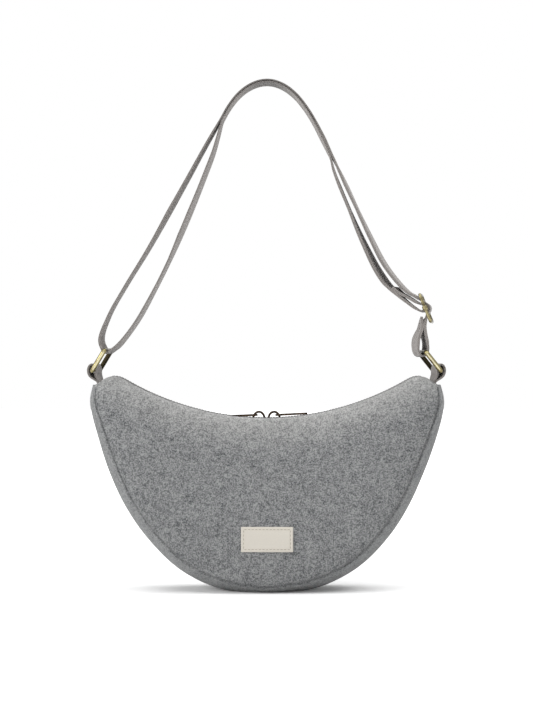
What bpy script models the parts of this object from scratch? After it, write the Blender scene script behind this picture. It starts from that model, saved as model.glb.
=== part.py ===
"""Crescent felt bag with a two-slider zip, ring-hung webbing strap and wire adjuster.

Metres, +Z up, the front faces -Y. The origin is on the floor under the middle of the bag.
"""

import math

import bmesh
import bpy
from mathutils import Matrix, Vector
from mathutils.bvhtree import BVHTree

# Felt body. The curved seam between panel and gusset sets the width and height of the rest.
FELT = 0.0026
SEW_GAP = 0.0003
SEAM_HALF_WIDTH = 0.1705
SEAM_BOTTOM_HEIGHT = 0.0061
SEAM_RISE = 0.1979
TOP_MIDDLE_DROP = 0.0325
TOP_SAG = 0.05127
TIP_INSET = 0.0090
TIP_ROUND_FROM_SHARE = 0.867
TIP_ROUND_DROP = 0.0125
TIP_ROUND_POWER = 2.3
MIDDLE_HALF_DEPTH = 0.0390
TIP_HALF_DEPTH = 0.0210
DEPTH_TAPER_POWER = 2.6
CROWN_SWELL = 0.0115
SHOULDER_REACH = 0.0100
CROWN_TURN_SHARE = 0.5
SLOT_HALF_WIDTH = 0.0068
SLOT_TIP_HALF_WIDTH = 0.0034
SLOT_NARROWS_FROM_SHARE = 0.929
LIP_WIDTH = 0.0080
GUSSET_BULGE = 0.0125
GUSSET_TIP_BULGE = 0.0050
GUSSET_BULGE_POWER = 6

# Half of the seam between panel and gusset, from the bottom middle to the tip,
# in shares of the seam's half width and rise.
SEAM_SHARES = (
    (0.000, 0.000),
    (0.158, 0.017),
    (0.317, 0.054),
    (0.487, 0.137),
    (0.651, 0.280),
    (0.765, 0.421),
    (0.858, 0.581),
    (0.935, 0.742),
    (0.985, 0.864),
    (1.000, 0.925),
    (0.991, 1.000),
)
PANEL_COLUMN_COUNT = 36
LIP_ROW_COUNT = 2
CROWN_ROW_COUNT = 9
GUSSET_COLUMN_COUNT = 48
GUSSET_ROW_COUNT = 8

# Lining
LINING = 0.0005
LINING_GAP = 0.0005
LINING_SPAN_SHARE = 0.90
LINING_TOP_SHARE = 0.06
LINING_BOTTOM_SHARE = 0.94
LINING_GUSSET_SHARE = 0.86
INSET_STEP_SHARE = 0.01
LINING_GUSSET_GAP = 0.0012
LINING_GUSSET_COLUMN_COUNT = 30
LINING_GUSSET_ROW_COUNT = 4
LINING_COLUMN_COUNT = 24
LINING_ROW_COUNT = 6

# Zip: heights are measured from the lips' upper face, along the arc's radius
TAPE = 0.0007
TAPE_OUTER_EDGE = 0.0140
TAPE_SPAN_SHARE = 0.8855
CHAIN_END_ROOM = 0.0060
TAPE_COLUMN_COUNT = 46
TOOTH_PITCH = 0.0042
TOOTH_LENGTH = 0.0017
TOOTH_HEIGHT = 0.0024
TOOTH_REACH = 0.0024
TOOTH_TIP_SHARE = 0.86
BEAD_INNER_EDGE = 0.0017
BEAD_OUTER_EDGE = 0.0029
CHAIN_SPREAD = 0.0015
SPREAD_FULL_TO = 0.0030
SPREAD_ENDS_AT = 0.0120
STOP_LENGTH = 0.0030
STOP_HEIGHT = 0.0030

# Slider and pull
SLIDER_LENGTH = 0.0126
SLIDER_OFFSET = 0.0076
SLIDER_PLATE = 0.0010
SLIDER_FLANGE = 0.0008
SLIDER_ROOM = 0.0029
SLIDER_TAIL_HALF_ROOM = 0.0032
SLIDER_MOUTH_HALF_ROOM = 0.0047
SLIDER_WAIST_SHARE = 0.20
SLIDER_SHOULDER_SHARE = 0.60
SLIDER_WEDGE_SHARE = 0.36
SLIDER_WEDGE_HALF_WIDTH = 0.0005
TAPE_SLOT = 0.0013
SLIDER_BEVEL = 0.0003
BRIDGE_WIRE = 0.0016
BRIDGE_HALF_SPAN = 0.0057
BRIDGE_TOP = 0.0067
BRIDGE_STEP_COUNT = 10
PULL_LENGTH = 0.0305
PULL_WIDTH = 0.0060
PULL_THICKNESS = 0.0012
PULL_NECK_SHARE = 0.72
PULL_EYE_WIDTH = 0.0030
PULL_BAR = 0.0015
PULL_EYE_END = 0.0044
PULL_AXIS_BACK = 0.0024
PULL_AXIS_HEIGHT = 0.0026
PULL_TILT_LEFT = -3.6
PULL_TILT_RIGHT = 1.4

# Webbing, rings and strap
WEB = 0.0015
WEB_WIDTH = 0.030
WEB_GAP = 0.0003
FOLD_GAP = 0.0006
WEB_STATION = 0.024
WEB_TURN = 9.0
RING_WIRE = 0.0038
RING_PITCH = 0.0248
RING_SIDE_ROOM = 0.0010
RING_CORNER = 0.0030
RING_CORNER_POINT_COUNT = 5
RING_AXIS_OUT = 0.0007
RING_AXIS_RISE = 0.0139
RING_LEAN_LEFT = 31.4
RING_LEAN_RIGHT = 38.8
RING_YAW = 9.5
STRAP_RISE = 0.2890
STACK_GAP = 0.0005
ANCHOR_SLIT_INSET = 0.0040
ANCHOR_SLIT_RISE = 0.0035
ANCHOR_TAIL_DROP = 0.0150
ANCHOR_TAIL_SHARE = 0.7
ANCHOR_TOP_ROOM = 0.0071
YAW_LOWER_RUN = 0.0100
YAW_LEFT_RUN = 0.0900
YAW_RIGHT_RUN = 0.0230
YAW_FREE_RUN = 0.0480

# Adjuster
ADJUSTER_REACH_SHARE = 0.9317
ADJUSTER_RISE_SHARE = 0.2176
ADJUSTER_LEAN = 22.0
ADJUSTER_YAW = 8.0
ADJUSTER_PITCH = 0.0135
ADJUSTER_WIRE = 0.0032
ADJUSTER_BAR = 0.0026
ADJUSTER_CORNER = 0.0034
COLLAR_LENGTH = 0.0044
COLLAR_WALL = 0.0008
COLLAR_ROOM = 0.0003
# Turns of the webbing round a bar: from and to, in degrees, and the number of steps
FOLD_ANGLES = (60, -100, 6)
OVER_FOLD_ANGLES = (ADJUSTER_LEAN + 55, ADJUSTER_LEAN - 50, 5)
LEFT_TURN_ANGLES = (-60, -168, 5)
RIGHT_TURN_ANGLES = (-20, -65, 2)

# Label patch
LABEL_WIDTH = 0.0510
LABEL_HEIGHT = 0.0247
LABEL_THICKNESS = 0.0010
LABEL_CENTRE_X = 0.0006
LABEL_CENTRE_HEIGHT = 0.0540
LABEL_GAP = 0.0005
LABEL_COLUMN_COUNT = 10
LABEL_ROW_COUNT = 6

# The strap's strands as shares of the ring axis reach and of the rise above it, by hand.
# The stacked arch over the top is the line between its two layers.
ARCH_SHARES = (
    (-0.263, 0.869),
    (-0.225, 0.910),
    (-0.169, 0.952),
    (-0.105, 0.981),
    (-0.035, 0.997),
    (0.032, 0.998),
    (0.102, 0.983),
    (0.170, 0.952),
    (0.228, 0.910),
    (0.272, 0.869),
    (0.327, 0.807),
    (0.377, 0.745),
)
OUTER_LEFT_SHARES = (
    (-0.923, 0.191),
    (-0.826, 0.295),
    (-0.698, 0.419),
    (-0.578, 0.544),
    (-0.461, 0.668),
    (-0.350, 0.786),
)
INNER_LEFT_SHARES = (
    (-0.286, 0.827),
    (-0.318, 0.752),
    (-0.368, 0.668),
    (-0.450, 0.544),
    (-0.543, 0.419),
    (-0.645, 0.295),
    (-0.762, 0.170),
)
OUTER_RIGHT_SHARES = (
    (0.435, 0.682),
    (0.511, 0.585),
    (0.610, 0.461),
    (0.683, 0.378),
    (0.759, 0.316),
    (0.827, 0.274),
    (0.865, 0.261),
)
INNER_RIGHT_SHARES = (
    (0.898, 0.211),
    (0.859, 0.227),
    (0.812, 0.248),
    (0.765, 0.270),
    (0.727, 0.288),
    (0.686, 0.311),
    (0.643, 0.340),
    (0.590, 0.419),
    (0.494, 0.585),
    (0.412, 0.682),
)
TAIL_SHARES = ((0.762, 0.283), (0.800, 0.272), (0.853, 0.255), (0.912, 0.235))
# Webbing beside the left ring's upper bar, as shares of the turn radius from that bar.
LEFT_IN_SHARES = ((3.53, 1.42), (1.66, 0.00))
LEFT_OUT_SHARES = ((-2.28, 3.40),)
# Webbing through the adjuster, as shares of its pitch up the frame and to its right.
ADJUSTER_IN_SHARES = ((0.827, -0.169), (0.557, 0.026))
ADJUSTER_OUT_SHARES = ((-0.474, -0.072), (-0.756, -0.363))
# The drop loop through the right ring, as shares of the ring pitch from its upper bar.
DROP_DOWN_SHARES = ((0.093, 1.00), (0.125, 0.80), (0.145, 0.42), (0.137, 0.15))
DROP_UP_SHARES = (
    (-0.020, -0.155),
    (-0.140, -0.155),
    (-0.245, -0.02),
    (-0.275, 0.24),
    (-0.245, 0.52),
    (-0.135, 0.80),
    (-0.035, 1.06),
    (-0.030, 1.35),
)

# The anchor loop over the ring's lower bar, as shares of the turn radius and of the loop's top room.
ANCHOR_LOOP_SHARES = (
    (-1.00, -0.44),
    (-1.00, 0.29),
    (-0.30, 0.93),
    (0.80, 0.93),
    (1.59, 0.25),
    (1.04, -0.66),
)

COLOURS = {
    "felt": ((0.27, 0.27, 0.275), 0.95, 0.0),
    "webbing": ((0.25, 0.24, 0.23), 0.80, 0.0),
    "lining": ((0.20, 0.20, 0.21), 0.85, 0.0),
    "tape": ((0.17, 0.17, 0.18), 0.85, 0.0),
    "teeth": ((0.10, 0.08, 0.06), 0.40, 0.8),
    "bronze": ((0.13, 0.09, 0.06), 0.35, 1.0),
    "brass": ((0.50, 0.42, 0.20), 0.28, 1.0),
    "label": ((0.74, 0.70, 0.64), 0.75, 0.0),
}

TIP_REACH = SEAM_HALF_WIDTH - TIP_INSET
TIP_HEIGHT = SEAM_BOTTOM_HEIGHT + SEAM_RISE
TIP_ROUND_FROM = TIP_REACH * TIP_ROUND_FROM_SHARE
SLOT_NARROWS_FROM = TIP_REACH * SLOT_NARROWS_FROM_SHARE
ZIP_ARC_RADIUS = (TIP_REACH**2 + TOP_SAG**2) / (2 * TOP_SAG)
ARC_CENTRE_HEIGHT = TIP_HEIGHT - TOP_MIDDLE_DROP + ZIP_ARC_RADIUS
TAPE_LEVEL = -(FELT + SEW_GAP + TAPE / 2)
TAPE_HALF_SPAN = TIP_REACH * TAPE_SPAN_SHARE
TOOTH_COUNT = int(2 * (TAPE_HALF_SPAN - CHAIN_END_ROOM) / TOOTH_PITCH)
RING_AXIS_REACH = SEAM_HALF_WIDTH + RING_AXIS_OUT
RING_AXIS_HEIGHT = TIP_HEIGHT + RING_AXIS_RISE
ADJUSTER_REACH = RING_AXIS_REACH * ADJUSTER_REACH_SHARE
ADJUSTER_HEIGHT = RING_AXIS_HEIGHT + STRAP_RISE * ADJUSTER_RISE_SHARE
TURN_RADIUS = RING_WIRE / 2 + WEB_GAP + WEB / 2
FOLD_RADIUS = ADJUSTER_BAR / 2 + FOLD_GAP + WEB / 2
OVER_FOLD_RADIUS = FOLD_RADIUS + WEB + WEB_GAP
RING_HALF_WIDTH = WEB_WIDTH / 2 + RING_SIDE_ROOM + RING_WIRE / 2
COLLAR_RADIUS = ADJUSTER_WIRE / 2 + SEW_GAP + COLLAR_WALL
ADJUSTER_HALF_WIDTH = WEB_WIDTH / 2 + COLLAR_ROOM + COLLAR_RADIUS


def clear_scene():
    for obj in list(bpy.data.objects):
        bpy.data.objects.remove(obj, do_unlink=True)


def new_collection(name, hidden=False):
    collection = bpy.data.collections.new(name)
    bpy.context.scene.collection.children.link(collection)
    collection.hide_render = hidden
    return collection


clear_scene()
PARTS = new_collection("belt_bag")
CUTTERS = new_collection("cutters", hidden=True)


def material(name):
    found = bpy.data.materials.get(name)
    if found:
        return found
    colour, roughness, metallic = COLOURS[name]
    made = bpy.data.materials.new(name)
    made.use_nodes = True
    shader = made.node_tree.nodes["Principled BSDF"]
    shader.inputs["Base Color"].default_value = (*colour, 1.0)
    shader.inputs["Roughness"].default_value = roughness
    shader.inputs["Metallic"].default_value = metallic
    return made


def finish(obj, finish_name, smooth_angle=40.0):
    obj.data.materials.clear()
    obj.data.materials.append(material(finish_name))
    if obj.type == "MESH":
        obj.data.shade_smooth()
        obj.data.set_sharp_from_angle(angle=math.radians(smooth_angle))
    return obj


def object_from(bm, name, collection=None, turn_out=True):
    if turn_out:
        bmesh.ops.recalc_face_normals(bm, faces=bm.faces)
    mesh = bpy.data.meshes.new(name)
    bm.to_mesh(mesh)
    bm.free()
    obj = bpy.data.objects.new(name, mesh)
    (collection or PARTS).objects.link(obj)
    return obj


def make_cutter(obj):
    obj.hide_render = True
    obj.display_type = "WIRE"
    return obj


def pivot(name, location, turn_y=0.0, parent=None):
    empty = bpy.data.objects.new(name, None)
    empty.location = location
    empty.rotation_euler = (0, math.radians(turn_y), 0)
    empty.parent = parent
    PARTS.objects.link(empty)
    return empty


def boolean(obj, operation, other):
    modifier = obj.modifiers.new(operation.lower(), "BOOLEAN")
    modifier.operation = operation
    modifier.object = other
    return modifier


def baked(obj):
    """The object with its modifiers applied, so that others can be made from it."""
    bpy.context.view_layer.update()
    graph = bpy.context.evaluated_depsgraph_get()
    mesh = bpy.data.meshes.new_from_object(obj.evaluated_get(graph))
    obj.modifiers.clear()
    obj.data = mesh
    return obj


def shell(obj, thickness, offset):
    modifier = obj.modifiers.new("thickness", "SOLIDIFY")
    modifier.thickness = thickness
    modifier.offset = offset
    modifier.use_quality_normals = True
    return modifier


def ease(value):
    value = min(1.0, max(0.0, value))
    return value * value * (3 - 2 * value)


def mix(a, b, share):
    return a + (b - a) * share


def smooth_line(points, per_span=10):
    """Points on a smooth curve through the given ones, spaced by the root of each chord."""
    before = points[0] * 2 - points[1]
    after = points[-1] * 2 - points[-2]
    nodes = [before, *points, after]
    line = []
    for a, b, c, d in zip(nodes, nodes[1:], nodes[2:], nodes[3:]):
        t1 = math.sqrt((b - a).length)
        t2 = t1 + math.sqrt((c - b).length)
        t3 = t2 + math.sqrt((d - c).length)
        for step in range(per_span):
            t = mix(t1, t2, step / per_span)
            ab = mix(a, b, t / t1)
            bc = mix(b, c, (t - t1) / (t2 - t1))
            cd = mix(c, d, (t - t2) / (t3 - t2))
            left = mix(ab, bc, t / t2)
            right = mix(bc, cd, (t - t1) / (t3 - t1))
            line.append(mix(left, right, (t - t1) / (t2 - t1)))
    line.append(points[-1].copy())
    return line


def line_length(line):
    return sum((b - a).length for a, b in zip(line, line[1:]))


def at_share(line, share):
    """The point at a share of the line's length."""
    left = line_length(line) * min(1.0, max(0.0, share))
    for a, b in zip(line, line[1:]):
        length = (b - a).length
        if left <= length:
            return mix(a, b, left / length)
        left -= length
    return line[-1].copy()


def stations(line, longest, turn_degrees):
    """Fewer points of a dense line: one after each stretch or turn of this size."""
    kept = [line[0]]
    run = 0.0
    turned = 0.0
    for a, b, c in zip(line, line[1:], line[2:]):
        run += (b - a).length
        turned += abs(math.degrees((b - a).angle((c - b), 0.0)))
        if run >= longest or turned >= turn_degrees:
            kept.append(b)
            run = 0.0
            turned = 0.0
    kept.append(line[-1])
    return kept


def round_points(centre, radius, start, end, steps):
    angles = [math.radians(mix(start, end, step / steps)) for step in range(steps + 1)]
    return [centre + radius * Vector((math.cos(a), math.sin(a))) for a in angles]


# Body surfaces
def seam_line():
    half = [Vector((x * SEAM_HALF_WIDTH, SEAM_BOTTOM_HEIGHT + z * SEAM_RISE)) for x, z in SEAM_SHARES]
    mirrored = [Vector((-p.x, p.y)) for p in reversed(half[1:])]
    return smooth_line(mirrored + half)


SEAM = seam_line()


def seam_at(share):
    return at_share(SEAM, (share + 1) / 2)


def seam_outward(share):
    step = 0.5 / GUSSET_COLUMN_COUNT
    along = seam_at(min(1.0, share + step)) - seam_at(max(-1.0, share - step))
    along.normalize()
    return Vector((along.y, -along.x))


def top_at(x):
    """Height of the top edge: the zip's arc, rounded down near the tips."""
    arc = ARC_CENTRE_HEIGHT - math.sqrt(ZIP_ARC_RADIUS**2 - x * x)
    past = max(0.0, (abs(x) - TIP_ROUND_FROM) / (TIP_REACH - TIP_ROUND_FROM))
    return Vector((x, arc - TIP_ROUND_DROP * past**TIP_ROUND_POWER))


def above_top(x, y, height):
    """A point over the top edge, measured square to it."""
    step = TIP_REACH / PANEL_COLUMN_COUNT
    along = top_at(x + step) - top_at(x - step)
    along.normalize()
    point = top_at(x) + height * Vector((-along.y, along.x))
    return Vector((point.x, y, point.y))


def half_depth(share):
    return mix(MIDDLE_HALF_DEPTH, TIP_HALF_DEPTH, abs(share) ** DEPTH_TAPER_POWER)


def slot_half_width(x):
    past = (abs(x) - SLOT_NARROWS_FROM) / (TIP_REACH - SLOT_NARROWS_FROM)
    return mix(SLOT_HALF_WIDTH, SLOT_TIP_HALF_WIDTH, ease(past))


def panel_point(share, crown, lip=1.0):
    """A point on the front panel: share runs along it, crown from the lip down to the seam."""
    top = top_at(share * TIP_REACH)
    low = seam_at(share)
    slot = slot_half_width(top.x)
    lip_edge = slot + LIP_WIDTH
    if lip < 1.0:
        return Vector((top.x, -mix(slot, lip_edge, lip), top.y))
    depth = half_depth(share)
    swell = depth + CROWN_SWELL * (1 - abs(share) ** 3)
    shoulder = min(lip_edge + SHOULDER_REACH, depth)
    rest = 1 - crown
    weights = (rest**3, 3 * rest * rest * crown, 3 * rest * crown * crown, crown**3)
    out = sum(w * y for w, y in zip(weights, (lip_edge, shoulder, swell, depth)))
    down = weights[2] * CROWN_TURN_SHARE + weights[3]
    place = mix(top, low, down)
    return Vector((place.x, -out, place.y))


def inset(surface, a, b, depth):
    """The surface's point moved in by a depth, square to the surface."""
    across = surface(a + INSET_STEP_SHARE, b) - surface(a - INSET_STEP_SHARE, b)
    along = surface(a, b + INSET_STEP_SHARE) - surface(a, b - INSET_STEP_SHARE)
    outward = across.cross(along)
    outward.normalize()
    return surface(a, b) + outward * depth


def gusset_point(share, across):
    share = min(1.0, max(-1.0, share))
    bulge = mix(GUSSET_BULGE, GUSSET_TIP_BULGE, abs(share) ** GUSSET_BULGE_POWER)
    place = seam_at(share) + seam_outward(share) * bulge * (1 - across * across)
    y = across * (half_depth(share) - FELT - SEW_GAP)
    return Vector((place.x, y, max(0.0, place.y)))


def grid(name, rows, columns, point_at, flip=False):
    """An open sheet of quads, from a function of row and column."""
    bm = bmesh.new()
    made = []
    for row in range(rows + 1):
        made.append([bm.verts.new(point_at(row, column)) for column in range(columns + 1)])
    for row in range(rows):
        for column in range(columns):
            corners = [
                made[row][column],
                made[row][column + 1],
                made[row + 1][column + 1],
                made[row + 1][column],
            ]
            bm.faces.new(corners[::-1] if flip else corners)
    return object_from(bm, name, turn_out=False)


def make_panel(name, side):
    def point_at(row, column):
        share = mix(-1.0, 1.0, column / PANEL_COLUMN_COUNT)
        if row < LIP_ROW_COUNT:
            point = panel_point(share, 0.0, row / LIP_ROW_COUNT)
        else:
            point = panel_point(share, (row - LIP_ROW_COUNT) / CROWN_ROW_COUNT)
        return Vector((point.x, point.y * side, point.z))

    panel = grid(name, LIP_ROW_COUNT + CROWN_ROW_COUNT, PANEL_COLUMN_COUNT, point_at, flip=side > 0)
    shell(panel, FELT, -1.0)
    return finish(panel, "felt", 60)


def make_gusset():
    def point_at(row, column):
        share = mix(-1.0, 1.0, column / GUSSET_COLUMN_COUNT)
        return gusset_point(share, mix(-1.0, 1.0, row / GUSSET_ROW_COUNT))

    gusset = grid("gusset", GUSSET_ROW_COUNT, GUSSET_COLUMN_COUNT, point_at, flip=True)
    shell(gusset, FELT, -1.0)
    return finish(gusset, "felt", 60)


def make_panel_lining(name, side):
    def point_at(row, column):
        share = mix(-LINING_SPAN_SHARE, LINING_SPAN_SHARE, column / LINING_COLUMN_COUNT)
        crown = mix(LINING_TOP_SHARE, LINING_BOTTOM_SHARE, row / LINING_ROW_COUNT)
        point = inset(panel_point, share, crown, FELT + LINING_GAP)
        return Vector((point.x, point.y * side, point.z))

    lining = grid(name, LINING_ROW_COUNT, LINING_COLUMN_COUNT, point_at, flip=side > 0)
    shell(lining, LINING, -1.0)
    return finish(lining, "lining", 60)


def make_gusset_lining():
    def point_at(row, column):
        share = mix(-LINING_SPAN_SHARE, LINING_SPAN_SHARE, column / LINING_GUSSET_COLUMN_COUNT)
        across = mix(-LINING_GUSSET_SHARE, LINING_GUSSET_SHARE, row / LINING_GUSSET_ROW_COUNT)
        return inset(gusset_point, share, across, FELT + LINING_GUSSET_GAP)

    lining = grid("lining_gusset", LINING_GUSSET_ROW_COUNT, LINING_GUSSET_COLUMN_COUNT, point_at, flip=True)
    shell(lining, LINING, -1.0)
    return finish(lining, "lining", 60)


# Zip
def chain_spread(run):
    """How far the chain stands out from its closed place, by the distance from the middle."""
    return CHAIN_SPREAD * (1 - ease((abs(run) - SPREAD_FULL_TO) / (SPREAD_ENDS_AT - SPREAD_FULL_TO)))


def on_arc(run, y, height):
    angle = run / ZIP_ARC_RADIUS
    radius = ZIP_ARC_RADIUS - height
    return Vector((radius * math.sin(angle), y, ARC_CENTRE_HEIGHT - radius * math.cos(angle)))


def make_tape(name, side):
    def point_at(row, column):
        x = mix(-TAPE_HALF_SPAN, TAPE_HALF_SPAN, column / TAPE_COLUMN_COUNT)
        edge = BEAD_OUTER_EDGE + SEW_GAP + chain_spread(x)
        return above_top(x, side * mix(edge, TAPE_OUTER_EDGE, row), TAPE_LEVEL)

    tape = grid(name, 1, TAPE_COLUMN_COUNT, point_at, flip=side > 0)
    shell(tape, TAPE, 0.0)
    return finish(tape, "tape")


def make_teeth(name, side):
    """A bead with a comb of teeth on its inner side. The two combs are half a pitch apart."""
    bm = bmesh.new()
    start = -TOOTH_COUNT * TOOTH_PITCH / 2 + side * TOOTH_PITCH / 4
    runs = []
    for tooth in range(TOOTH_COUNT):
        middle = start + (tooth + 0.5) * TOOTH_PITCH
        runs += [middle - TOOTH_LENGTH / 2, middle + TOOTH_LENGTH / 2]
    half = TOOTH_HEIGHT / 2
    rings = []
    for run in runs:
        spread = chain_spread(run)
        inner = side * (BEAD_INNER_EDGE + spread)
        outer = side * (BEAD_OUTER_EDGE + spread)
        corners = ((inner, -half), (outer, -half), (outer, half), (inner, half))
        rings.append([bm.verts.new(on_arc(run, y, TAPE_LEVEL + h)) for y, h in corners])
    inner_faces = []
    for near, far in zip(rings, rings[1:]):
        for corner in range(4):
            after = (corner + 1) % 4
            face = bm.faces.new((near[corner], near[after], far[after], far[corner]))
            if corner == 3:
                inner_faces.append(face)
    bm.faces.new(rings[0])
    bm.faces.new(reversed(rings[-1]))
    bmesh.ops.recalc_face_normals(bm, faces=bm.faces)
    made = bmesh.ops.extrude_discrete_faces(bm, faces=inner_faces[::2])
    for face in made["faces"]:
        middle = face.calc_center_median()
        for vert in face.verts:
            vert.co = mix(middle, vert.co, TOOTH_TIP_SHARE)
            vert.co.y -= side * TOOTH_REACH
    return finish(object_from(bm, name), "teeth", 30)


def make_stop(name, side):
    run = side * (TOOTH_COUNT * TOOTH_PITCH / 2 + TOOTH_PITCH / 4 + SEW_GAP + STOP_LENGTH / 2)
    bm = bmesh.new()
    bmesh.ops.create_cube(bm, size=1.0)
    bmesh.ops.scale(bm, vec=(STOP_LENGTH, 2 * BEAD_OUTER_EDGE, STOP_HEIGHT), verts=bm.verts)
    stop = object_from(bm, name)
    stop.location = on_arc(run, 0.0, TAPE_LEVEL)
    stop.rotation_euler = (0, -run / ZIP_ARC_RADIUS, 0)
    bevel = stop.modifiers.new("edges", "BEVEL")
    bevel.width = SLIDER_BEVEL
    bevel.segments = 1
    return finish(stop, "bronze")


def prism(name, outline, low, high, collection=None):
    """A flat outline drawn up from one height to another."""
    bm = bmesh.new()
    face = bm.faces.new([bm.verts.new((x, y, low)) for x, y in outline])
    drawn = bmesh.ops.extrude_face_region(bm, geom=[face])
    lifted = [item for item in drawn["geom"] if isinstance(item, bmesh.types.BMVert)]
    bmesh.ops.translate(bm, vec=(0, 0, high - low), verts=lifted)
    return object_from(bm, name, collection)


def both_sides(half):
    """A closed outline from its half at +Y, mirrored to -Y."""
    return half + [(x, -y) for x, y in reversed(half)]


def tube(name, points, wire, cyclic=False, resolution=2):
    curve = bpy.data.curves.new(name, "CURVE")
    curve.dimensions = "3D"
    curve.bevel_depth = wire / 2
    curve.bevel_resolution = resolution
    curve.use_fill_caps = True
    spline = curve.splines.new("POLY")
    spline.points.add(len(points) - 1)
    for place, point in zip(spline.points, points):
        place.co = (*point, 1.0)
    spline.use_cyclic_u = cyclic
    obj = bpy.data.objects.new(name, curve)
    PARTS.objects.link(obj)
    return obj


def meshed(curve_obj):
    """The same shape as a closed mesh object, in place of the curve."""
    bpy.context.view_layer.update()
    graph = bpy.context.evaluated_depsgraph_get()
    mesh = bpy.data.meshes.new_from_object(curve_obj.evaluated_get(graph))
    bm = bmesh.new()
    bm.from_mesh(mesh)
    bmesh.ops.remove_doubles(bm, verts=bm.verts, dist=SEW_GAP / 100)
    bm.to_mesh(mesh)
    bm.free()
    name = curve_obj.name
    obj = bpy.data.objects.new(name + "_mesh", mesh)
    obj.matrix_world = curve_obj.matrix_world
    PARTS.objects.link(obj)
    bpy.data.objects.remove(curve_obj, do_unlink=True)
    obj.name = name
    return obj


def make_slider_mesh():
    """Upper and lower plate with side flanges, joined by the wedge, and the bridge on top.

    Its mouth is at +X and its tail at -X. Height 0 is the lips' upper face.
    """
    half = SLIDER_LENGTH / 2
    waist = mix(-half, half, SLIDER_WAIST_SHARE)
    shoulder = mix(-half, half, SLIDER_SHOULDER_SHARE)
    room_top = TAPE_LEVEL + SLIDER_ROOM / 2
    room_low = TAPE_LEVEL - SLIDER_ROOM / 2
    tail = SLIDER_TAIL_HALF_ROOM
    mouth = SLIDER_MOUTH_HALF_ROOM
    wall = SLIDER_FLANGE
    narrow = tail + wall
    wide = mouth + wall
    outer = both_sides([(-half, narrow), (waist, narrow), (shoulder, wide), (half, wide)])
    body = prism("slider_body", outer, room_low - SLIDER_PLATE, room_top + SLIDER_PLATE)
    bevel = body.modifiers.new("edges", "BEVEL")
    bevel.width = SLIDER_BEVEL
    bevel.segments = 1
    over = half + SLIDER_PLATE
    wedge = mix(half, -half, SLIDER_WEDGE_SHARE)
    room = [
        (wedge, 0.0),
        (half, SLIDER_WEDGE_HALF_WIDTH),
        (over, SLIDER_WEDGE_HALF_WIDTH),
        (over, mouth),
        (shoulder, mouth),
        (waist, tail),
        (-over, tail),
    ]
    channel_outline = room + [(x, -y) for x, y in reversed(room[1:])]
    channel = make_cutter(prism("slider_channel", channel_outline, room_low, room_top, CUTTERS))
    boolean(body, "DIFFERENCE", channel)
    low = TAPE_LEVEL - TAPE_SLOT / 2
    high = TAPE_LEVEL + TAPE_SLOT / 2
    for side in (-1, 1):
        near = side * (tail - wall / 2)
        far = side * (mouth + 2 * wall)
        sides = [(-over, near), (over, near), (over, far), (-over, far)]
        slot = make_cutter(prism(f"slider_slot_{side}", sides, low, high, CUTTERS))
        boolean(body, "DIFFERENCE", slot)
    foot = room_top + SLIDER_PLATE / 2
    rise = BRIDGE_TOP - BRIDGE_WIRE / 2 - foot
    arch = []
    for step in range(BRIDGE_STEP_COUNT + 1):
        angle = math.pi * step / BRIDGE_STEP_COUNT
        arch.append((BRIDGE_HALF_SPAN * math.cos(angle), 0.0, foot + rise * math.sin(angle)))
    bridge = meshed(tube("slider_bridge", arch, BRIDGE_WIRE))
    boolean(body, "UNION", bridge)
    body = baked(body)
    bpy.data.objects.remove(bridge, do_unlink=True)
    mesh = body.data
    bpy.data.objects.remove(body, do_unlink=True)
    return mesh


def make_pull_mesh():
    """A flat pull with an eye round the bridge. The axis is in the eye's bar; it lies to -X."""
    half = PULL_WIDTH / 2
    neck = half * PULL_NECK_SHARE
    bar = PULL_BAR / 2
    eye = PULL_EYE_WIDTH / 2
    outline = both_sides(
        [
            (bar, half - bar),
            (0.0, half),
            (-PULL_EYE_END, half),
            (-PULL_EYE_END - PULL_BAR, neck),
            (-PULL_LENGTH + half, half),
            (-PULL_LENGTH + bar, half - bar),
            (-PULL_LENGTH, half - PULL_BAR),
        ]
    )
    plate = prism("pull_plate", outline, -PULL_THICKNESS / 2, PULL_THICKNESS / 2)
    hole = [(-bar, eye), (-bar, -eye), (-PULL_EYE_END, -eye), (-PULL_EYE_END, eye)]
    cutter = make_cutter(prism("pull_eye", hole, -PULL_THICKNESS, PULL_THICKNESS, CUTTERS))
    boolean(plate, "DIFFERENCE", cutter)
    plate = baked(plate)
    mesh = plate.data
    bpy.data.objects.remove(plate, do_unlink=True)
    return mesh


def make_sliders():
    slider_mesh = make_slider_mesh()
    pull_mesh = make_pull_mesh()
    turn = math.degrees(SLIDER_OFFSET / ZIP_ARC_RADIUS)
    for name, side, tilt in (("left", 1, PULL_TILT_LEFT), ("right", -1, PULL_TILT_RIGHT)):
        centre = pivot(f"zip_run_{name}", (0, 0, ARC_CENTRE_HEIGHT), side * turn)
        slider = bpy.data.objects.new(f"zip_slider_{name}", slider_mesh)
        slider.parent = centre
        slider.location = (0, 0, -ZIP_ARC_RADIUS)
        slider.rotation_euler = (0, 0, 0 if side > 0 else math.pi)
        PARTS.objects.link(slider)
        finish(slider, "bronze")
        axis = pivot(f"pull_lift_{name}", (-PULL_AXIS_BACK, 0, PULL_AXIS_HEIGHT), tilt, slider)
        pull = bpy.data.objects.new(f"zip_pull_{name}", pull_mesh)
        pull.parent = axis
        PARTS.objects.link(pull)
        finish(pull, "bronze")


# Webbing
def ring_upper(side):
    lean = math.radians(RING_LEAN_LEFT if side < 0 else RING_LEAN_RIGHT)
    reach = side * (RING_AXIS_REACH - RING_PITCH * math.sin(lean))
    return Vector((reach, RING_AXIS_HEIGHT + RING_PITCH * math.cos(lean)))


def ring_middle(side):
    return (ring_upper(side) + Vector((side * RING_AXIS_REACH, RING_AXIS_HEIGHT))) / 2


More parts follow.
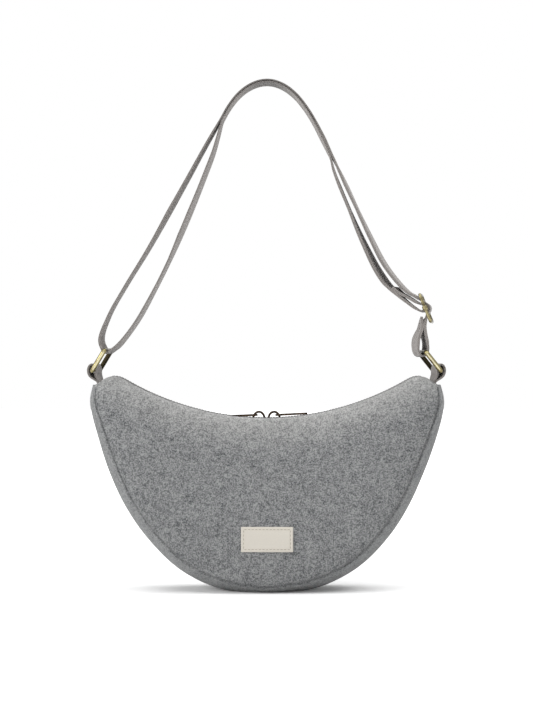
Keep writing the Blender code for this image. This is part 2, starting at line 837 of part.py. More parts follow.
def yaw_at(side, height):
    """The webbing's turn about the upright, in degrees: steady over each ring and the adjuster."""
    ring_low = RING_AXIS_HEIGHT - RING_WIRE
    ring_top = ring_upper(side).y + RING_WIRE
    turn = RING_YAW * ease((height - (ring_low - YAW_LOWER_RUN)) / YAW_LOWER_RUN)
    if side < 0:
        return -turn * (1 - ease((height - ring_top) / YAW_LEFT_RUN))
    reversed_yaw = ease((height - ring_top) / YAW_RIGHT_RUN)
    free_from = ADJUSTER_HEIGHT + ADJUSTER_PITCH + ADJUSTER_WIRE
    held = 1 - ease((height - free_from) / YAW_FREE_RUN)
    return mix(turn, -ADJUSTER_YAW, reversed_yaw) * held


def turned(point):
    """A point of the strap turned about the upright line through its ring's middle."""
    side = -1 if point.x < 0 else 1
    axis = Vector((ring_middle(side).x, 0, 0))
    turn = Matrix.Rotation(math.radians(yaw_at(side, point.z)), 3, "Z")
    return axis + turn @ (point - axis)


def ribbon(name, line):
    """A webbing strip along a line in the XZ plane, its width along Y before it's turned."""

    def point_at(row, column):
        place = line[column]
        return turned(Vector((place.x, mix(-WEB_WIDTH / 2, WEB_WIDTH / 2, row), place.y)))

    strip = grid(name, 1, len(line) - 1, point_at)
    modifier = shell(strip, WEB, 0.0)
    modifier.use_even_offset = True
    return finish(strip, "webbing", 50)


def make_anchor(name, side):
    """A loop of webbing from the slit between panel and gusset, round the ring's lower bar."""
    bar = Vector((RING_AXIS_REACH, RING_AXIS_HEIGHT))
    slit = Vector((SEAM_HALF_WIDTH - ANCHOR_SLIT_INSET, TIP_HEIGHT + ANCHOR_SLIT_RISE))
    apart = Vector(((WEB + WEB_GAP) / 2, 0))
    tail = slit + Vector((-(bar.x - slit.x) / 2, -ANCHOR_TAIL_DROP))
    inside = [tail, mix(tail, slit, ANCHOR_TAIL_SHARE), slit]
    loop = [bar + Vector((x * TURN_RADIUS, z * ANCHOR_TOP_ROOM)) for x, z in ANCHOR_LOOP_SHARES]
    line = [point - apart for point in inside] + loop + [point + apart for point in reversed(inside)]
    placed = [Vector((side * p.x, p.y)) for p in smooth_line(line)]
    return ribbon(name, stations(placed, WEB_STATION, WEB_TURN * 2))


def strap_shares(shares):
    return [Vector((x * RING_AXIS_REACH, RING_AXIS_HEIGHT + z * STRAP_RISE)) for x, z in shares]


def offset_line(line, distance):
    moved = []
    for index, point in enumerate(line):
        along = line[min(index + 1, len(line) - 1)] - line[max(index - 1, 0)]
        along.normalize()
        moved.append(point + distance * Vector((-along.y, along.x)))
    return moved


def adjuster_points(shares):
    lean = math.radians(ADJUSTER_LEAN)
    centre = Vector((ADJUSTER_REACH, ADJUSTER_HEIGHT))
    up_axis = ADJUSTER_PITCH * Vector((-math.sin(lean), math.cos(lean)))
    right_axis = ADJUSTER_PITCH * Vector((math.cos(lean), math.sin(lean)))
    return [centre + up_axis * up + right_axis * right for up, right in shares]


def strap_line():
    """One strip: sewn fold, inner strand, left ring, outer strand, adjuster, right ring."""
    centre = Vector((ADJUSTER_REACH, ADJUSTER_HEIGHT))
    arch = smooth_line(strap_shares(ARCH_SHARES), 4)
    stack = (WEB + STACK_GAP) / 2
    inner_arch = offset_line(arch, -stack)
    outer_arch = offset_line(arch, stack)
    fold = round_points(centre, FOLD_RADIUS, *FOLD_ANGLES)
    left = ring_upper(-1)
    left_turn = round_points(left, TURN_RADIUS, *LEFT_TURN_ANGLES)
    over = round_points(centre, OVER_FOLD_RADIUS, *OVER_FOLD_ANGLES)
    bar = ring_upper(1)
    down = [bar + RING_PITCH * Vector(share) for share in DROP_DOWN_SHARES]
    up = [bar + RING_PITCH * Vector(share) for share in DROP_UP_SHARES]
    under = round_points(bar, TURN_RADIUS, *RIGHT_TURN_ANGLES)
    points = (
        strap_shares(TAIL_SHARES)
        + fold
        + strap_shares(INNER_RIGHT_SHARES)
        + list(reversed(inner_arch))
        + strap_shares(INNER_LEFT_SHARES)
        + [left + TURN_RADIUS * Vector(share) for share in LEFT_IN_SHARES]
        + left_turn
        + [left + TURN_RADIUS * Vector(share) for share in LEFT_OUT_SHARES]
        + strap_shares(OUTER_LEFT_SHARES)
        + outer_arch
        + strap_shares(OUTER_RIGHT_SHARES)
        + adjuster_points(ADJUSTER_IN_SHARES)
        + over
        + adjuster_points(ADJUSTER_OUT_SHARES)
        + down
        + under
        + up
    )
    return smooth_line(points, 6)


def rounded_rectangle(half_y, low, high, corner):
    """Points of a rounded rectangle in the YZ plane."""
    points = []
    for sign_y, sign_z, start in ((1, 1, 0), (-1, 1, 90), (-1, -1, 180), (1, -1, 270)):
        centre_y = sign_y * (half_y - corner)
        centre_z = (high if sign_z > 0 else low) - sign_z * corner
        for step in range(RING_CORNER_POINT_COUNT):
            angle = math.radians(start + 90 * step / (RING_CORNER_POINT_COUNT - 1))
            points.append((0.0, centre_y + corner * math.cos(angle), centre_z + corner * math.sin(angle)))
    return points


def make_ring(name, side):
    lean = RING_LEAN_LEFT if side < 0 else -RING_LEAN_RIGHT
    upper = ring_upper(side)
    outline = rounded_rectangle(RING_HALF_WIDTH, -RING_PITCH, 0.0, RING_CORNER)
    ring = tube(name, outline, RING_WIRE, cyclic=True)
    ring.location = turned(Vector((upper.x, 0, upper.y)))
    yaw = math.radians(yaw_at(side, upper.y))
    ring.rotation_euler = (0, math.radians(lean), yaw)
    return finish(ring, "brass")


def adjuster_pivot():
    place = turned(Vector((ADJUSTER_REACH, 0, ADJUSTER_HEIGHT)))
    empty = pivot("adjuster_rock", place)
    empty.rotation_euler = (0, math.radians(-ADJUSTER_LEAN), math.radians(-ADJUSTER_YAW))
    return empty


def make_adjuster():
    axis = adjuster_pivot()
    outline = rounded_rectangle(ADJUSTER_HALF_WIDTH, -ADJUSTER_PITCH, ADJUSTER_PITCH, ADJUSTER_CORNER)
    frame = tube("adjuster_frame", outline, ADJUSTER_WIRE, cyclic=True)
    frame.parent = axis
    finish(frame, "brass")
    ends = [(0.0, -ADJUSTER_HALF_WIDTH, 0.0), (0.0, ADJUSTER_HALF_WIDTH, 0.0)]
    bar = meshed(tube("adjuster_bar", ends, ADJUSTER_BAR))
    helpers = []
    for side in (-1, 1):
        y = side * ADJUSTER_HALF_WIDTH
        reach = COLLAR_LENGTH / 2
        collar = meshed(tube(f"collar_{side}", [(0, y, -reach), (0, y, reach)], 2 * COLLAR_RADIUS))
        boolean(bar, "UNION", collar)
        helpers.append(collar)
    for side in (-1, 1):
        y = side * ADJUSTER_HALF_WIDTH
        through = [(0, y, -COLLAR_LENGTH), (0, y, COLLAR_LENGTH)]
        bore = meshed(tube(f"bore_{side}", through, ADJUSTER_WIRE + 2 * SEW_GAP))
        boolean(bar, "DIFFERENCE", bore)
        helpers.append(bore)
    baked(bar)
    for helper in helpers:
        bpy.data.objects.remove(helper, do_unlink=True)
    bar.parent = axis
    finish(bar, "brass")


def make_label(panel):
    """A flat patch that follows the front panel's face."""
    bpy.context.view_layer.update()
    graph = bpy.context.evaluated_depsgraph_get()
    tree = BVHTree.FromObject(panel, graph)

    def point_at(row, column):
        x = LABEL_CENTRE_X + LABEL_WIDTH * (column / LABEL_COLUMN_COUNT - 0.5)
        z = LABEL_CENTRE_HEIGHT + LABEL_HEIGHT * (0.5 - row / LABEL_ROW_COUNT)
        hit = tree.ray_cast(Vector((x, -2 * MIDDLE_HALF_DEPTH, z)), Vector((0, 1, 0)))
        return hit[0] + hit[1] * LABEL_GAP

    label = grid("label_patch", LABEL_ROW_COUNT, LABEL_COLUMN_COUNT, point_at, flip=True)
    shell(label, LABEL_THICKNESS, 1.0)
    return finish(label, "label")


def main():
    front = make_panel("front_panel", 1)
    make_panel("back_panel", -1)
    make_gusset()
    make_panel_lining("lining_front", 1)
    make_panel_lining("lining_back", -1)
    make_gusset_lining()
    make_tape("zip_tape_front", -1)
    make_tape("zip_tape_back", 1)
    make_teeth("zip_teeth_front", -1)
    make_teeth("zip_teeth_back", 1)
    make_stop("zip_stop_left", -1)
    make_stop("zip_stop_right", 1)
    make_sliders()
    make_anchor("anchor_loop_left", -1)
    make_anchor("anchor_loop_right", 1)
    make_ring("ring_left", -1)
    make_ring("ring_right", 1)
    line = strap_line()
    print("strap length", round(line_length(line), 4))
    ribbon("strap_web", stations(line, WEB_STATION, WEB_TURN))
    make_adjuster()
    make_label(front)


main()
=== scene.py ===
# %% [markdown]
# # A crescent felt bag, dressed over its CAD frame
#
# The bag is sewn from thick grey felt: two crescent panels and one long gusset strip. A curved zip
# closes the top, brass rings hang in webbing loops at the tips, and one long webbing strap runs
# through the rings and a wire adjuster. The CAD frame gives the sizes. Each soft CAD solid is
# replaced here by a piece with the form and finish of sewn cloth.

# %% Load the frame
import math

import bmesh
import bpy
import numpy as np
from mathutils import Matrix, Vector
from mathutils.bvhtree import BVHTree


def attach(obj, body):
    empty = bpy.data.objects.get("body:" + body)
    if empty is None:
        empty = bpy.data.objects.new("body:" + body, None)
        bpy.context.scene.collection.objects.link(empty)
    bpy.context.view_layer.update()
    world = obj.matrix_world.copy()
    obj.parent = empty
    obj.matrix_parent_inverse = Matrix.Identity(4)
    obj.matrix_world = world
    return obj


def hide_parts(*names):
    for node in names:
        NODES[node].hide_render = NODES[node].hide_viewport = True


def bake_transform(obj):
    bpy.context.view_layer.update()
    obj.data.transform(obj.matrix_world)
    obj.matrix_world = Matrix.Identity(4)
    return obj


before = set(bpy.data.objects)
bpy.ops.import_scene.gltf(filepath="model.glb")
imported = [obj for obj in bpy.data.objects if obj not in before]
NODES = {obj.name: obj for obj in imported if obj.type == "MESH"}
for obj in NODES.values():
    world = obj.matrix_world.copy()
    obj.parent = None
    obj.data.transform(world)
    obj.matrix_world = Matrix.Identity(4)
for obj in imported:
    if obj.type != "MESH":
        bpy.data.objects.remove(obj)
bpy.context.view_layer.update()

# %% [markdown]
# ## Camera
#
# The photograph was taken level, from straight in front, a little above the zip. One pixel is one
# millimetre at the middle of the bag, so the lens follows from the camera's distance. A camera could
# also be fitted by eye, but a worked-out lens keeps every later measurement true.

# %% Camera
scene = bpy.context.scene
PHOTO_HEIGHT = 711
METRES_PER_PIXEL = 0.001
CAMERA_DISTANCE = 1.8
CAMERA_HEIGHT = 0.2337
SENSOR = 36.0

camera_data = bpy.data.cameras.new("camera")
camera_data.sensor_width = SENSOR
camera_data.lens = SENSOR * CAMERA_DISTANCE / (PHOTO_HEIGHT * METRES_PER_PIXEL)
camera_data.clip_start = 0.05
camera_data.clip_end = 50
camera = bpy.data.objects.new("camera", camera_data)
camera.location = (0, -CAMERA_DISTANCE, CAMERA_HEIGHT)
camera.rotation_euler = (math.radians(90), 0, 0)
scene.collection.objects.link(camera)
scene.camera = camera
print("lens:", round(camera_data.lens, 2), "mm")

# %% [markdown]
# ## Helpers for nodes
#
# A material is a network of nodes. Adding one by hand takes four or five statements, so these
# helpers add a node, set or link its inputs, and give back the socket that the next node reads.

# %% Node helpers
def node(tree, kind, **settings):
    made = tree.nodes.new(kind)
    for name, value in settings.items():
        setattr(made, name, value)
    return made


def put(tree, socket, value):
    """Links a socket, or sets a number or colour."""
    if isinstance(value, bpy.types.NodeSocket):
        tree.links.new(value, socket)
    else:
        socket.default_value = value


def maths(tree, operation, a, b=None, clamp=False):
    made = node(tree, "ShaderNodeMath", operation=operation, use_clamp=clamp)
    put(tree, made.inputs[0], a)
    if b is not None:
        put(tree, made.inputs[1], b)
    return made.outputs[0]


def noise(tree, vector, scale, detail=2.0, roughness=0.5):
    made = node(tree, "ShaderNodeTexNoise")
    put(tree, made.inputs["Vector"], vector)
    put(tree, made.inputs["Scale"], scale)
    made.inputs["Detail"].default_value = detail
    made.inputs["Roughness"].default_value = roughness
    return made.outputs["Fac"]


def remap(tree, value, low, high, to_low=0.0, to_high=1.0):
    made = node(tree, "ShaderNodeMapRange")
    made.clamp = True
    put(tree, made.inputs["Value"], value)
    for name, number in (("From Min", low), ("From Max", high), ("To Min", to_low), ("To Max", to_high)):
        made.inputs[name].default_value = number
    return made.outputs["Result"]


def colour_mix(tree, share, a, b):
    made = node(tree, "ShaderNodeMix", data_type="RGBA")
    put(tree, made.inputs[0], share)
    put(tree, made.inputs[6], a)
    put(tree, made.inputs[7], b)
    return made.outputs[2]


print("node helpers:", [helper.__name__ for helper in (node, put, maths, noise, remap, colour_mix)])

# %% [markdown]
# ## Studio
#
# The bag stands on a white table in plain soft light. A white background could come from stronger
# lamps, but those would bleach the felt. Here the world is white only to the rays that see it
# directly, and the light that it sends to the bag stays dim.

# %% World
WORLD_LIGHT = 0.21
WHITE = (1.0, 1.0, 1.0, 1.0)


def seen_directly(tree):
    """A mask that is 1 for camera, mirror and glass rays."""
    rays = node(tree, "ShaderNodeLightPath").outputs
    mirror = maths(tree, "MAXIMUM", rays["Is Camera Ray"], rays["Is Glossy Ray"])
    return maths(tree, "MAXIMUM", mirror, rays["Is Transmission Ray"])


scene.view_settings.view_transform = "Standard"
world = bpy.data.worlds.new("studio")
scene.world = world
world.use_nodes = True
world_tree = world.node_tree
world_tree.nodes.remove(world_tree.nodes["Background"])
world_mix = node(world_tree, "ShaderNodeMixShader")
put(world_tree, world_mix.inputs[0], seen_directly(world_tree))
for index, strength in ((1, WORLD_LIGHT), (2, 1.0)):
    background = node(world_tree, "ShaderNodeBackground")
    background.inputs["Color"].default_value = WHITE
    background.inputs["Strength"].default_value = strength
    put(world_tree, world_mix.inputs[index], background.outputs[0])
put(world_tree, world_tree.nodes["World Output"].inputs[0], world_mix.outputs[0])
print("world light:", WORLD_LIGHT)

# %% [markdown]
# One large lamp overhead gives the pale top and the shadow under the bag. A smaller one from the
# left front makes that side of the felt a little lighter, as in the photograph.

# %% Lamps
BAG_MIDDLE = Vector((0, 0, 0.2))


def area_light(name, place, size, power):
    """A square lamp that looks at the bag's middle."""
    data = bpy.data.lights.new(name, "AREA")
    data.shape = "SQUARE"
    data.size = size
    data.energy = power
    lamp = bpy.data.objects.new(name, data)
    lamp.location = place
    lamp.rotation_euler = (BAG_MIDDLE - Vector(place)).to_track_quat("-Z", "Y").to_euler()
    scene.collection.objects.link(lamp)


area_light("top_light", (0.25, -0.10, 2.0), 3.0, 53)
area_light("left_light", (-2.1, -1.25, 1.1), 1.2, 24)

# %% [markdown]
# The table is a plain white sheet. It glows more the further it is from the bag, so that its far
# part is as white as the world, while the shadow near the bag keeps its greys.

# %% Floor
FLOOR_SIZE = 12.0
FLOOR_GLOW = 0.09
FLOOR_GLOW_FAR = 1.2
FLOOR_NEAR = 0.45
FLOOR_FAR = 1.6
FLOOR_DIFFUSE = 1.30
FLOOR_BOUNCE = 0.90


def mesh_object(name, points, faces):
    """A new object in the scene with these points and faces."""
    mesh = bpy.data.meshes.new(name)
    mesh.from_pydata(np.reshape(points, (-1, 3)).tolist(), [], faces)
    obj = bpy.data.objects.new(name, mesh)
    scene.collection.objects.link(obj)
    return obj


half_floor = FLOOR_SIZE / 2
floor_corners = [(x * half_floor, y * half_floor, 0) for x, y in ((-1, -1), (1, -1), (1, 1), (-1, 1))]
floor = mesh_object("floor", floor_corners, [(0, 1, 2, 3)])

floor_finish = bpy.data.materials.new("white_table")
floor_finish.use_nodes = True
floor_tree = floor_finish.node_tree
floor_inputs = floor_tree.nodes["Principled BSDF"].inputs
floor_seen = seen_directly(floor_tree)
floor_reach = node(floor_tree, "ShaderNodeVectorMath", operation="LENGTH")
put(floor_tree, floor_reach.inputs[0], node(floor_tree, "ShaderNodeTexCoord").outputs["Object"])
far_glow = remap(floor_tree, floor_reach.outputs["Value"], FLOOR_NEAR, FLOOR_FAR, FLOOR_GLOW, FLOOR_GLOW_FAR)
floor_tone = remap(floor_tree, floor_seen, 0.0, 1.0, FLOOR_BOUNCE, FLOOR_DIFFUSE)
put(floor_tree, floor_inputs["Base Color"], floor_tone)
put(floor_tree, floor_inputs["Emission Strength"], maths(floor_tree, "MULTIPLY", floor_seen, far_glow))
floor_inputs["Emission Color"].default_value = WHITE
floor_inputs["Roughness"].default_value = 0.9
floor_inputs["Specular IOR Level"].default_value = 0.0
floor.data.materials.append(floor_finish)
print("floor:", FLOOR_SIZE, "m wide")

# %% [markdown]
# ## Finishes
#
# Mottle, weave and tarnish are used by several materials, so each one is a node group that is built
# once. Each group gives a mask and a height, and the material around it chooses the colours.

# %% Group helper
VECTOR = "NodeSocketVector"
NUMBER = "NodeSocketFloat"


def new_group(name, inputs, outputs):
    tree = bpy.data.node_groups.new(name, "ShaderNodeTree")
    for label, kind in inputs:
        tree.interface.new_socket(name=label, in_out="INPUT", socket_type=kind)
    for label, kind in outputs:
        tree.interface.new_socket(name=label, in_out="OUTPUT", socket_type=kind)
    start = tree.nodes.new("NodeGroupInput")
    end = tree.nodes.new("NodeGroupOutput")
    return tree, start, end


print("groups so far:", len(bpy.data.node_groups))

# %% [markdown]
# Felt is pressed from dyed and undyed fibres, so it is never one grey. Short fibres lie in every
# direction, in drifts of lighter and darker wool. Warping the coordinates of a fine noise by a
# coarser one gives curled fibres, which a plain noise doesn't have.

# %% Fibre mottle group
FIBRE_CURL = 0.0030
GRAIN_SHARE = 0.50
CLUMP_SHARE = 0.26
STRAND_SHARE = 0.10
DRIFT_SHARE = 0.14


def fibre_group():
    tree, start, end = new_group(
        "fibre_mottle",
        [("Vector", VECTOR), ("Fibre Scale", NUMBER), ("Drift Scale", NUMBER)],
        [("Mottle", NUMBER), ("Height", NUMBER)],
    )
    place = start.outputs["Vector"]
    bend = node(tree, "ShaderNodeTexNoise")
    put(tree, bend.inputs["Vector"], place)
    put(tree, bend.inputs["Scale"], maths(tree, "MULTIPLY", start.outputs["Fibre Scale"], 0.55))
    bend.inputs["Detail"].default_value = 1.0
    shift = node(tree, "ShaderNodeVectorMath", operation="SCALE")
    put(tree, shift.inputs[0], bend.outputs["Color"])
    shift.inputs["Scale"].default_value = FIBRE_CURL
    curled = node(tree, "ShaderNodeVectorMath", operation="ADD")
    put(tree, curled.inputs[0], place)
    put(tree, curled.inputs[1], shift.outputs["Vector"])
    fibres = noise(tree, curled.outputs["Vector"], start.outputs["Fibre Scale"], 3.0, 0.62)
    ridged = maths(tree, "ABSOLUTE", maths(tree, "SUBTRACT", fibres, 0.5))
    strands = remap(tree, ridged, 0.0, 0.10, 1.0, 0.0)
    grain = noise(tree, place, maths(tree, "MULTIPLY", start.outputs["Fibre Scale"], 1.35), 2.0, 0.6)
    drift = remap(tree, noise(tree, place, start.outputs["Drift Scale"], 3.0, 0.6), 0.34, 0.66)
    clumps = noise(tree, place, maths(tree, "MULTIPLY", start.outputs["Fibre Scale"], 0.5), 2.0, 0.6)
    clumps = remap(tree, clumps, 0.36, 0.64)
    body = maths(tree, "MULTIPLY", remap(tree, grain, 0.41, 0.59), GRAIN_SHARE)
    for mask, share in ((clumps, CLUMP_SHARE), (strands, STRAND_SHARE), (drift, DRIFT_SHARE)):
        body = maths(tree, "ADD", body, maths(tree, "MULTIPLY", mask, share), clamp=True)
    put(tree, end.inputs["Mottle"], body)
    height = maths(tree, "ADD", maths(tree, "MULTIPLY", strands, 0.5), maths(tree, "MULTIPLY", grain, 0.7))
    put(tree, end.inputs["Height"], height)
    return tree


FIBRES = fibre_group()
print("group:", FIBRES.name, "with", len(FIBRES.nodes), "nodes")

# %% [markdown]
# Webbing, tape, lining and label are all woven: cords along the cloth, crossed by picks that rise
# over every second cord. The group reads the cloth's own flat map in metres, so the weave follows
# each bend of the strap. It also gives a mask of the low parts of the weave, for painted shade.

# %% Weave group
def weave_group():
    tree, start, end = new_group(
        "weave",
        [("Flat Map", VECTOR), ("Cord Width", NUMBER), ("Pick Length", NUMBER)],
        [("Height", NUMBER), ("Groove Shade", NUMBER)],
    )
    split = node(tree, "ShaderNodeSeparateXYZ")
    put(tree, split.inputs[0], start.outputs["Flat Map"])
    along = maths(tree, "DIVIDE", split.outputs[0], start.outputs["Pick Length"])
    across = maths(tree, "DIVIDE", split.outputs[1], start.outputs["Cord Width"])
    odd = maths(tree, "FLOORED_MODULO", maths(tree, "FLOOR", across), 2.0)
    along = maths(tree, "ADD", along, maths(tree, "MULTIPLY", odd, 0.5))
    cord = maths(tree, "SINE", maths(tree, "MULTIPLY", maths(tree, "FRACT", across), math.pi))
    pick = maths(tree, "SINE", maths(tree, "MULTIPLY", maths(tree, "FRACT", along), math.pi))
    cord = maths(tree, "POWER", cord, 0.6)
    pick = maths(tree, "ADD", maths(tree, "MULTIPLY", maths(tree, "POWER", pick, 0.7), 0.5), 0.5)
    height = maths(tree, "MULTIPLY", cord, pick)
    put(tree, end.inputs["Height"], height)
    # The low parts of the weave get painted shade.
    put(tree, end.inputs["Groove Shade"], remap(tree, height, 0.15, 0.75, 1.0, 0.0))
    return tree


WEAVE = weave_group()
print("group:", WEAVE.name, "with", len(WEAVE.nodes), "nodes")

# %% [markdown]
# The rings are plated in old brass and the zip in dark bronze. Plating wears bright where it is
# handled and keeps brown tarnish elsewhere. A mask from two noises puts soft cloudy tarnish over
# the metal, with small dark specks in it.

# %% Tarnish group
def tarnish_group():
    tree, start, end = new_group(
        "tarnish",
        [("Vector", VECTOR), ("Cloud Scale", NUMBER)],
        [("Tarnish", NUMBER), ("Height", NUMBER)],
    )
    cloud = noise(tree, start.outputs["Vector"], start.outputs["Cloud Scale"], 3.0, 0.55)
    speck_scale = maths(tree, "MULTIPLY", start.outputs["Cloud Scale"], 6.0)
    speck = noise(tree, start.outputs["Vector"], speck_scale, 2.0, 0.6)
    cloudy = remap(tree, cloud, 0.42, 0.66)
    specks = remap(tree, speck, 0.60, 0.70)
    put(tree, end.inputs["Tarnish"], maths(tree, "MAXIMUM", cloudy, maths(tree, "MULTIPLY", specks, 0.6)))
    put(tree, end.inputs["Height"], speck)
    return tree


TARNISH = tarnish_group()
print("group:", TARNISH.name, "with", len(TARNISH.nodes), "nodes")

# %% [markdown]
# Every material starts as a Principled shader with a roughness. The groups are placed in it, and the
# shader itself, with the nodes that look at the view or the light, stays outside them.

# %% Material helpers
def new_material(name, roughness, metallic=0.0):
    made = bpy.data.materials.new(name)
    made.use_nodes = True
    shader = made.node_tree.nodes["Principled BSDF"]
    shader.inputs["Roughness"].default_value = roughness
    shader.inputs["Metallic"].default_value = metallic
    return made, made.node_tree, shader


def add_group(tree, group, **values):
    made = node(tree, "ShaderNodeGroup", node_tree=group)
    for name, value in values.items():
        put(tree, made.inputs[name.replace("_", " ")], value)
    return made


def add_bump(tree, shader, height, strength, distance):
    bump = node(tree, "ShaderNodeBump")
    bump.inputs["Strength"].default_value = strength
    bump.inputs["Distance"].default_value = distance
    put(tree, bump.inputs["Height"], height)
    tree.links.new(bump.outputs["Normal"], shader.inputs["Normal"])


def object_place(tree):
    return node(tree, "ShaderNodeTexCoord").outputs["Object"]


def part_of(tree, vector, index):
    """One number of a vector."""
    split = node(tree, "ShaderNodeSeparateXYZ")
    put(tree, split.inputs[0], vector)
    return split.outputs[index]


def darker(colour, share):
    """The same colour with only this share of its light."""
    return tuple(c * share for c in colour[:3]) + (1.0,)


print("materials so far:", len(bpy.data.materials))

# %% [markdown]
# ### Felt
#
# The mottle group mixes dark wool with pale wool. Two more things change along a felt piece: painted
# shade darkens it into the crease beside its seam, and painted light from above makes it paler near
# the lip of the zip.
# Painted masks could hold them, but a second map of distances, in metres, stays true at every size.

# %% Felt material
FELT_DARK = (0.058, 0.064, 0.070, 1.0)
FELT_PALE = (0.498, 0.503, 0.504, 1.0)
# Painted shade for the crease beside each seam, and painted light for the felt near the lip.
FELT_SEAM_SHADE = (0.035, 0.037, 0.040, 1.0)
LIT_LIP_DARK = (0.37, 0.365, 0.355, 1.0)
LIT_LIP_PALE = (0.88, 0.87, 0.845, 1.0)
SEAM_SHADE = 0.52
SEAM_SHADE_TO = 0.0004
SEAM_SHADE_END = 0.0026
LIP_PAINTED_LIGHT = 0.50
LIP_PAINTED_LIGHT_END = 0.038


def felt_material():
    made, tree, shader = new_material("felt_grey", 0.95)
    fibres = add_group(tree, FIBRES, Vector=object_place(tree), Fibre_Scale=560.0, Drift_Scale=80.0)
    mottle = fibres.outputs["Mottle"]
    distances = node(tree, "ShaderNodeUVMap", uv_map="seam").outputs["UV"]
    # Painted shade: the felt darkens into the crease beside its seam.
    crease = remap(tree, part_of(tree, distances, 0), SEAM_SHADE_TO, SEAM_SHADE_END, SEAM_SHADE, 0.0)
    # Painted light: the felt near the lip is paler, as if lit from above.
    lip_light = remap(tree, part_of(tree, distances, 1), 0.0, LIP_PAINTED_LIGHT_END, LIP_PAINTED_LIGHT, 0.0)
    tone = colour_mix(tree, mottle, FELT_DARK, FELT_PALE)
    tone = colour_mix(tree, lip_light, tone, colour_mix(tree, mottle, LIT_LIP_DARK, LIT_LIP_PALE))
    put(tree, shader.inputs["Base Color"], colour_mix(tree, crease, tone, FELT_SEAM_SHADE))
    shader.inputs["Specular IOR Level"].default_value = 0.15
    shader.inputs["Sheen Weight"].default_value = 0.45
    shader.inputs["Sheen Roughness"].default_value = 0.5
    add_bump(tree, shader, fibres.outputs["Height"], 0.75, 0.0006)
    return made


FELT_FINISH = felt_material()
print("felt:", FELT_FINISH.name)

# %% [markdown]
# ### Woven cloth
#
# The webbing, the zip tapes, the lining and the label differ only in colour, thread width and
# gloss, so one function makes them all. On the webbing, faces that look down get painted shade,
# as the deep grooves between its ribs keep what little light the floor sends up.

# %% Woven materials
FACES_DOWN = -0.97
FACES_SLANTED = -0.66


def woven_material(name, groove_shade, thread, cord, pick, roughness, bump, fibre=0.35, sheen=0.0, underside_shade=0.0):
    """A woven cloth: thread colour on the cords, with painted shade in the low parts between them."""
    made, tree, shader = new_material(name, roughness)
    flat = node(tree, "ShaderNodeUVMap", uv_map="flat").outputs["UV"]
    weave = add_group(tree, WEAVE, Flat_Map=flat, Cord_Width=cord, Pick_Length=pick)
    fibres = add_group(tree, FIBRES, Vector=flat, Fibre_Scale=700.0, Drift_Scale=90.0)
    lit = colour_mix(tree, fibres.outputs["Mottle"], darker(thread, 1 - fibre), thread)
    # Painted shade: the low parts of the weave take the darker colour.
    tone = colour_mix(tree, weave.outputs["Groove Shade"], lit, groove_shade)
    # Painted shade on the faces that look down.
    if underside_shade:
        upright = part_of(tree, node(tree, "ShaderNodeNewGeometry").outputs["Normal"], 2)
        below = remap(tree, upright, FACES_DOWN, FACES_SLANTED, underside_shade, 0.0)
        tone = colour_mix(tree, below, tone, darker(groove_shade, 0.2))
    put(tree, shader.inputs["Base Color"], tone)
    shader.inputs["Specular IOR Level"].default_value = 0.25
    shader.inputs["Sheen Weight"].default_value = sheen
    fuzz = maths(tree, "MULTIPLY", fibres.outputs["Height"], 0.25)
    add_bump(tree, shader, maths(tree, "ADD", weave.outputs["Height"], fuzz), bump, 0.0004)
    return made


WEBBING_FINISH = woven_material(
    "webbing_taupe", (0.305, 0.284, 0.270, 1), (0.375, 0.350, 0.333, 1), 0.00125, 0.0011, 0.72, 0.12,
    fibre=0.08, sheen=0.15, underside_shade=0.75,
)
TAPE_FINISH = woven_material(
    "zip_tape_grey", (0.15, 0.15, 0.155, 1), (0.30, 0.30, 0.305, 1), 0.0006, 0.0005, 0.85, 0.4
)
LINING_FINISH = woven_material(
    "lining_grey", (0.10, 0.10, 0.11, 1), (0.26, 0.26, 0.27, 1), 0.0005, 0.0005, 0.8, 0.4
)
LABEL_FINISH = woven_material(
    "label_cotton", (0.74, 0.69, 0.605, 1), (0.88, 0.835, 0.75, 1), 0.0007, 0.0007, 0.85, 0.35, fibre=0.06
)
print("woven cloths:", WEBBING_FINISH.name, TAPE_FINISH.name, LINING_FINISH.name, LABEL_FINISH.name)

# %% [markdown]
# ### Plated metal
#
# A round wire mirrors the white studio in a narrow line along its middle and is dark towards its
# edges. A plain metal would be pale all over in a bare white studio, so the bright line is a painted
# reflection and the darker edge painted shade, both made from how far each face turns from the viewer.

# %% Metal materials
# The colour of the painted reflection along a wire's middle.
PAINTED_SHINE = (0.74, 0.69, 0.50, 1.0)
# Painted shade on the back side of the metal, from here to full.
REAR_SHADE_FROM = -0.006
REAR_SHADE_FULL = 0.010
# Painted shade on the edges that turn away from the viewer, from here to full.
EDGE_FROM = 0.28
EDGE_FULL = 0.85


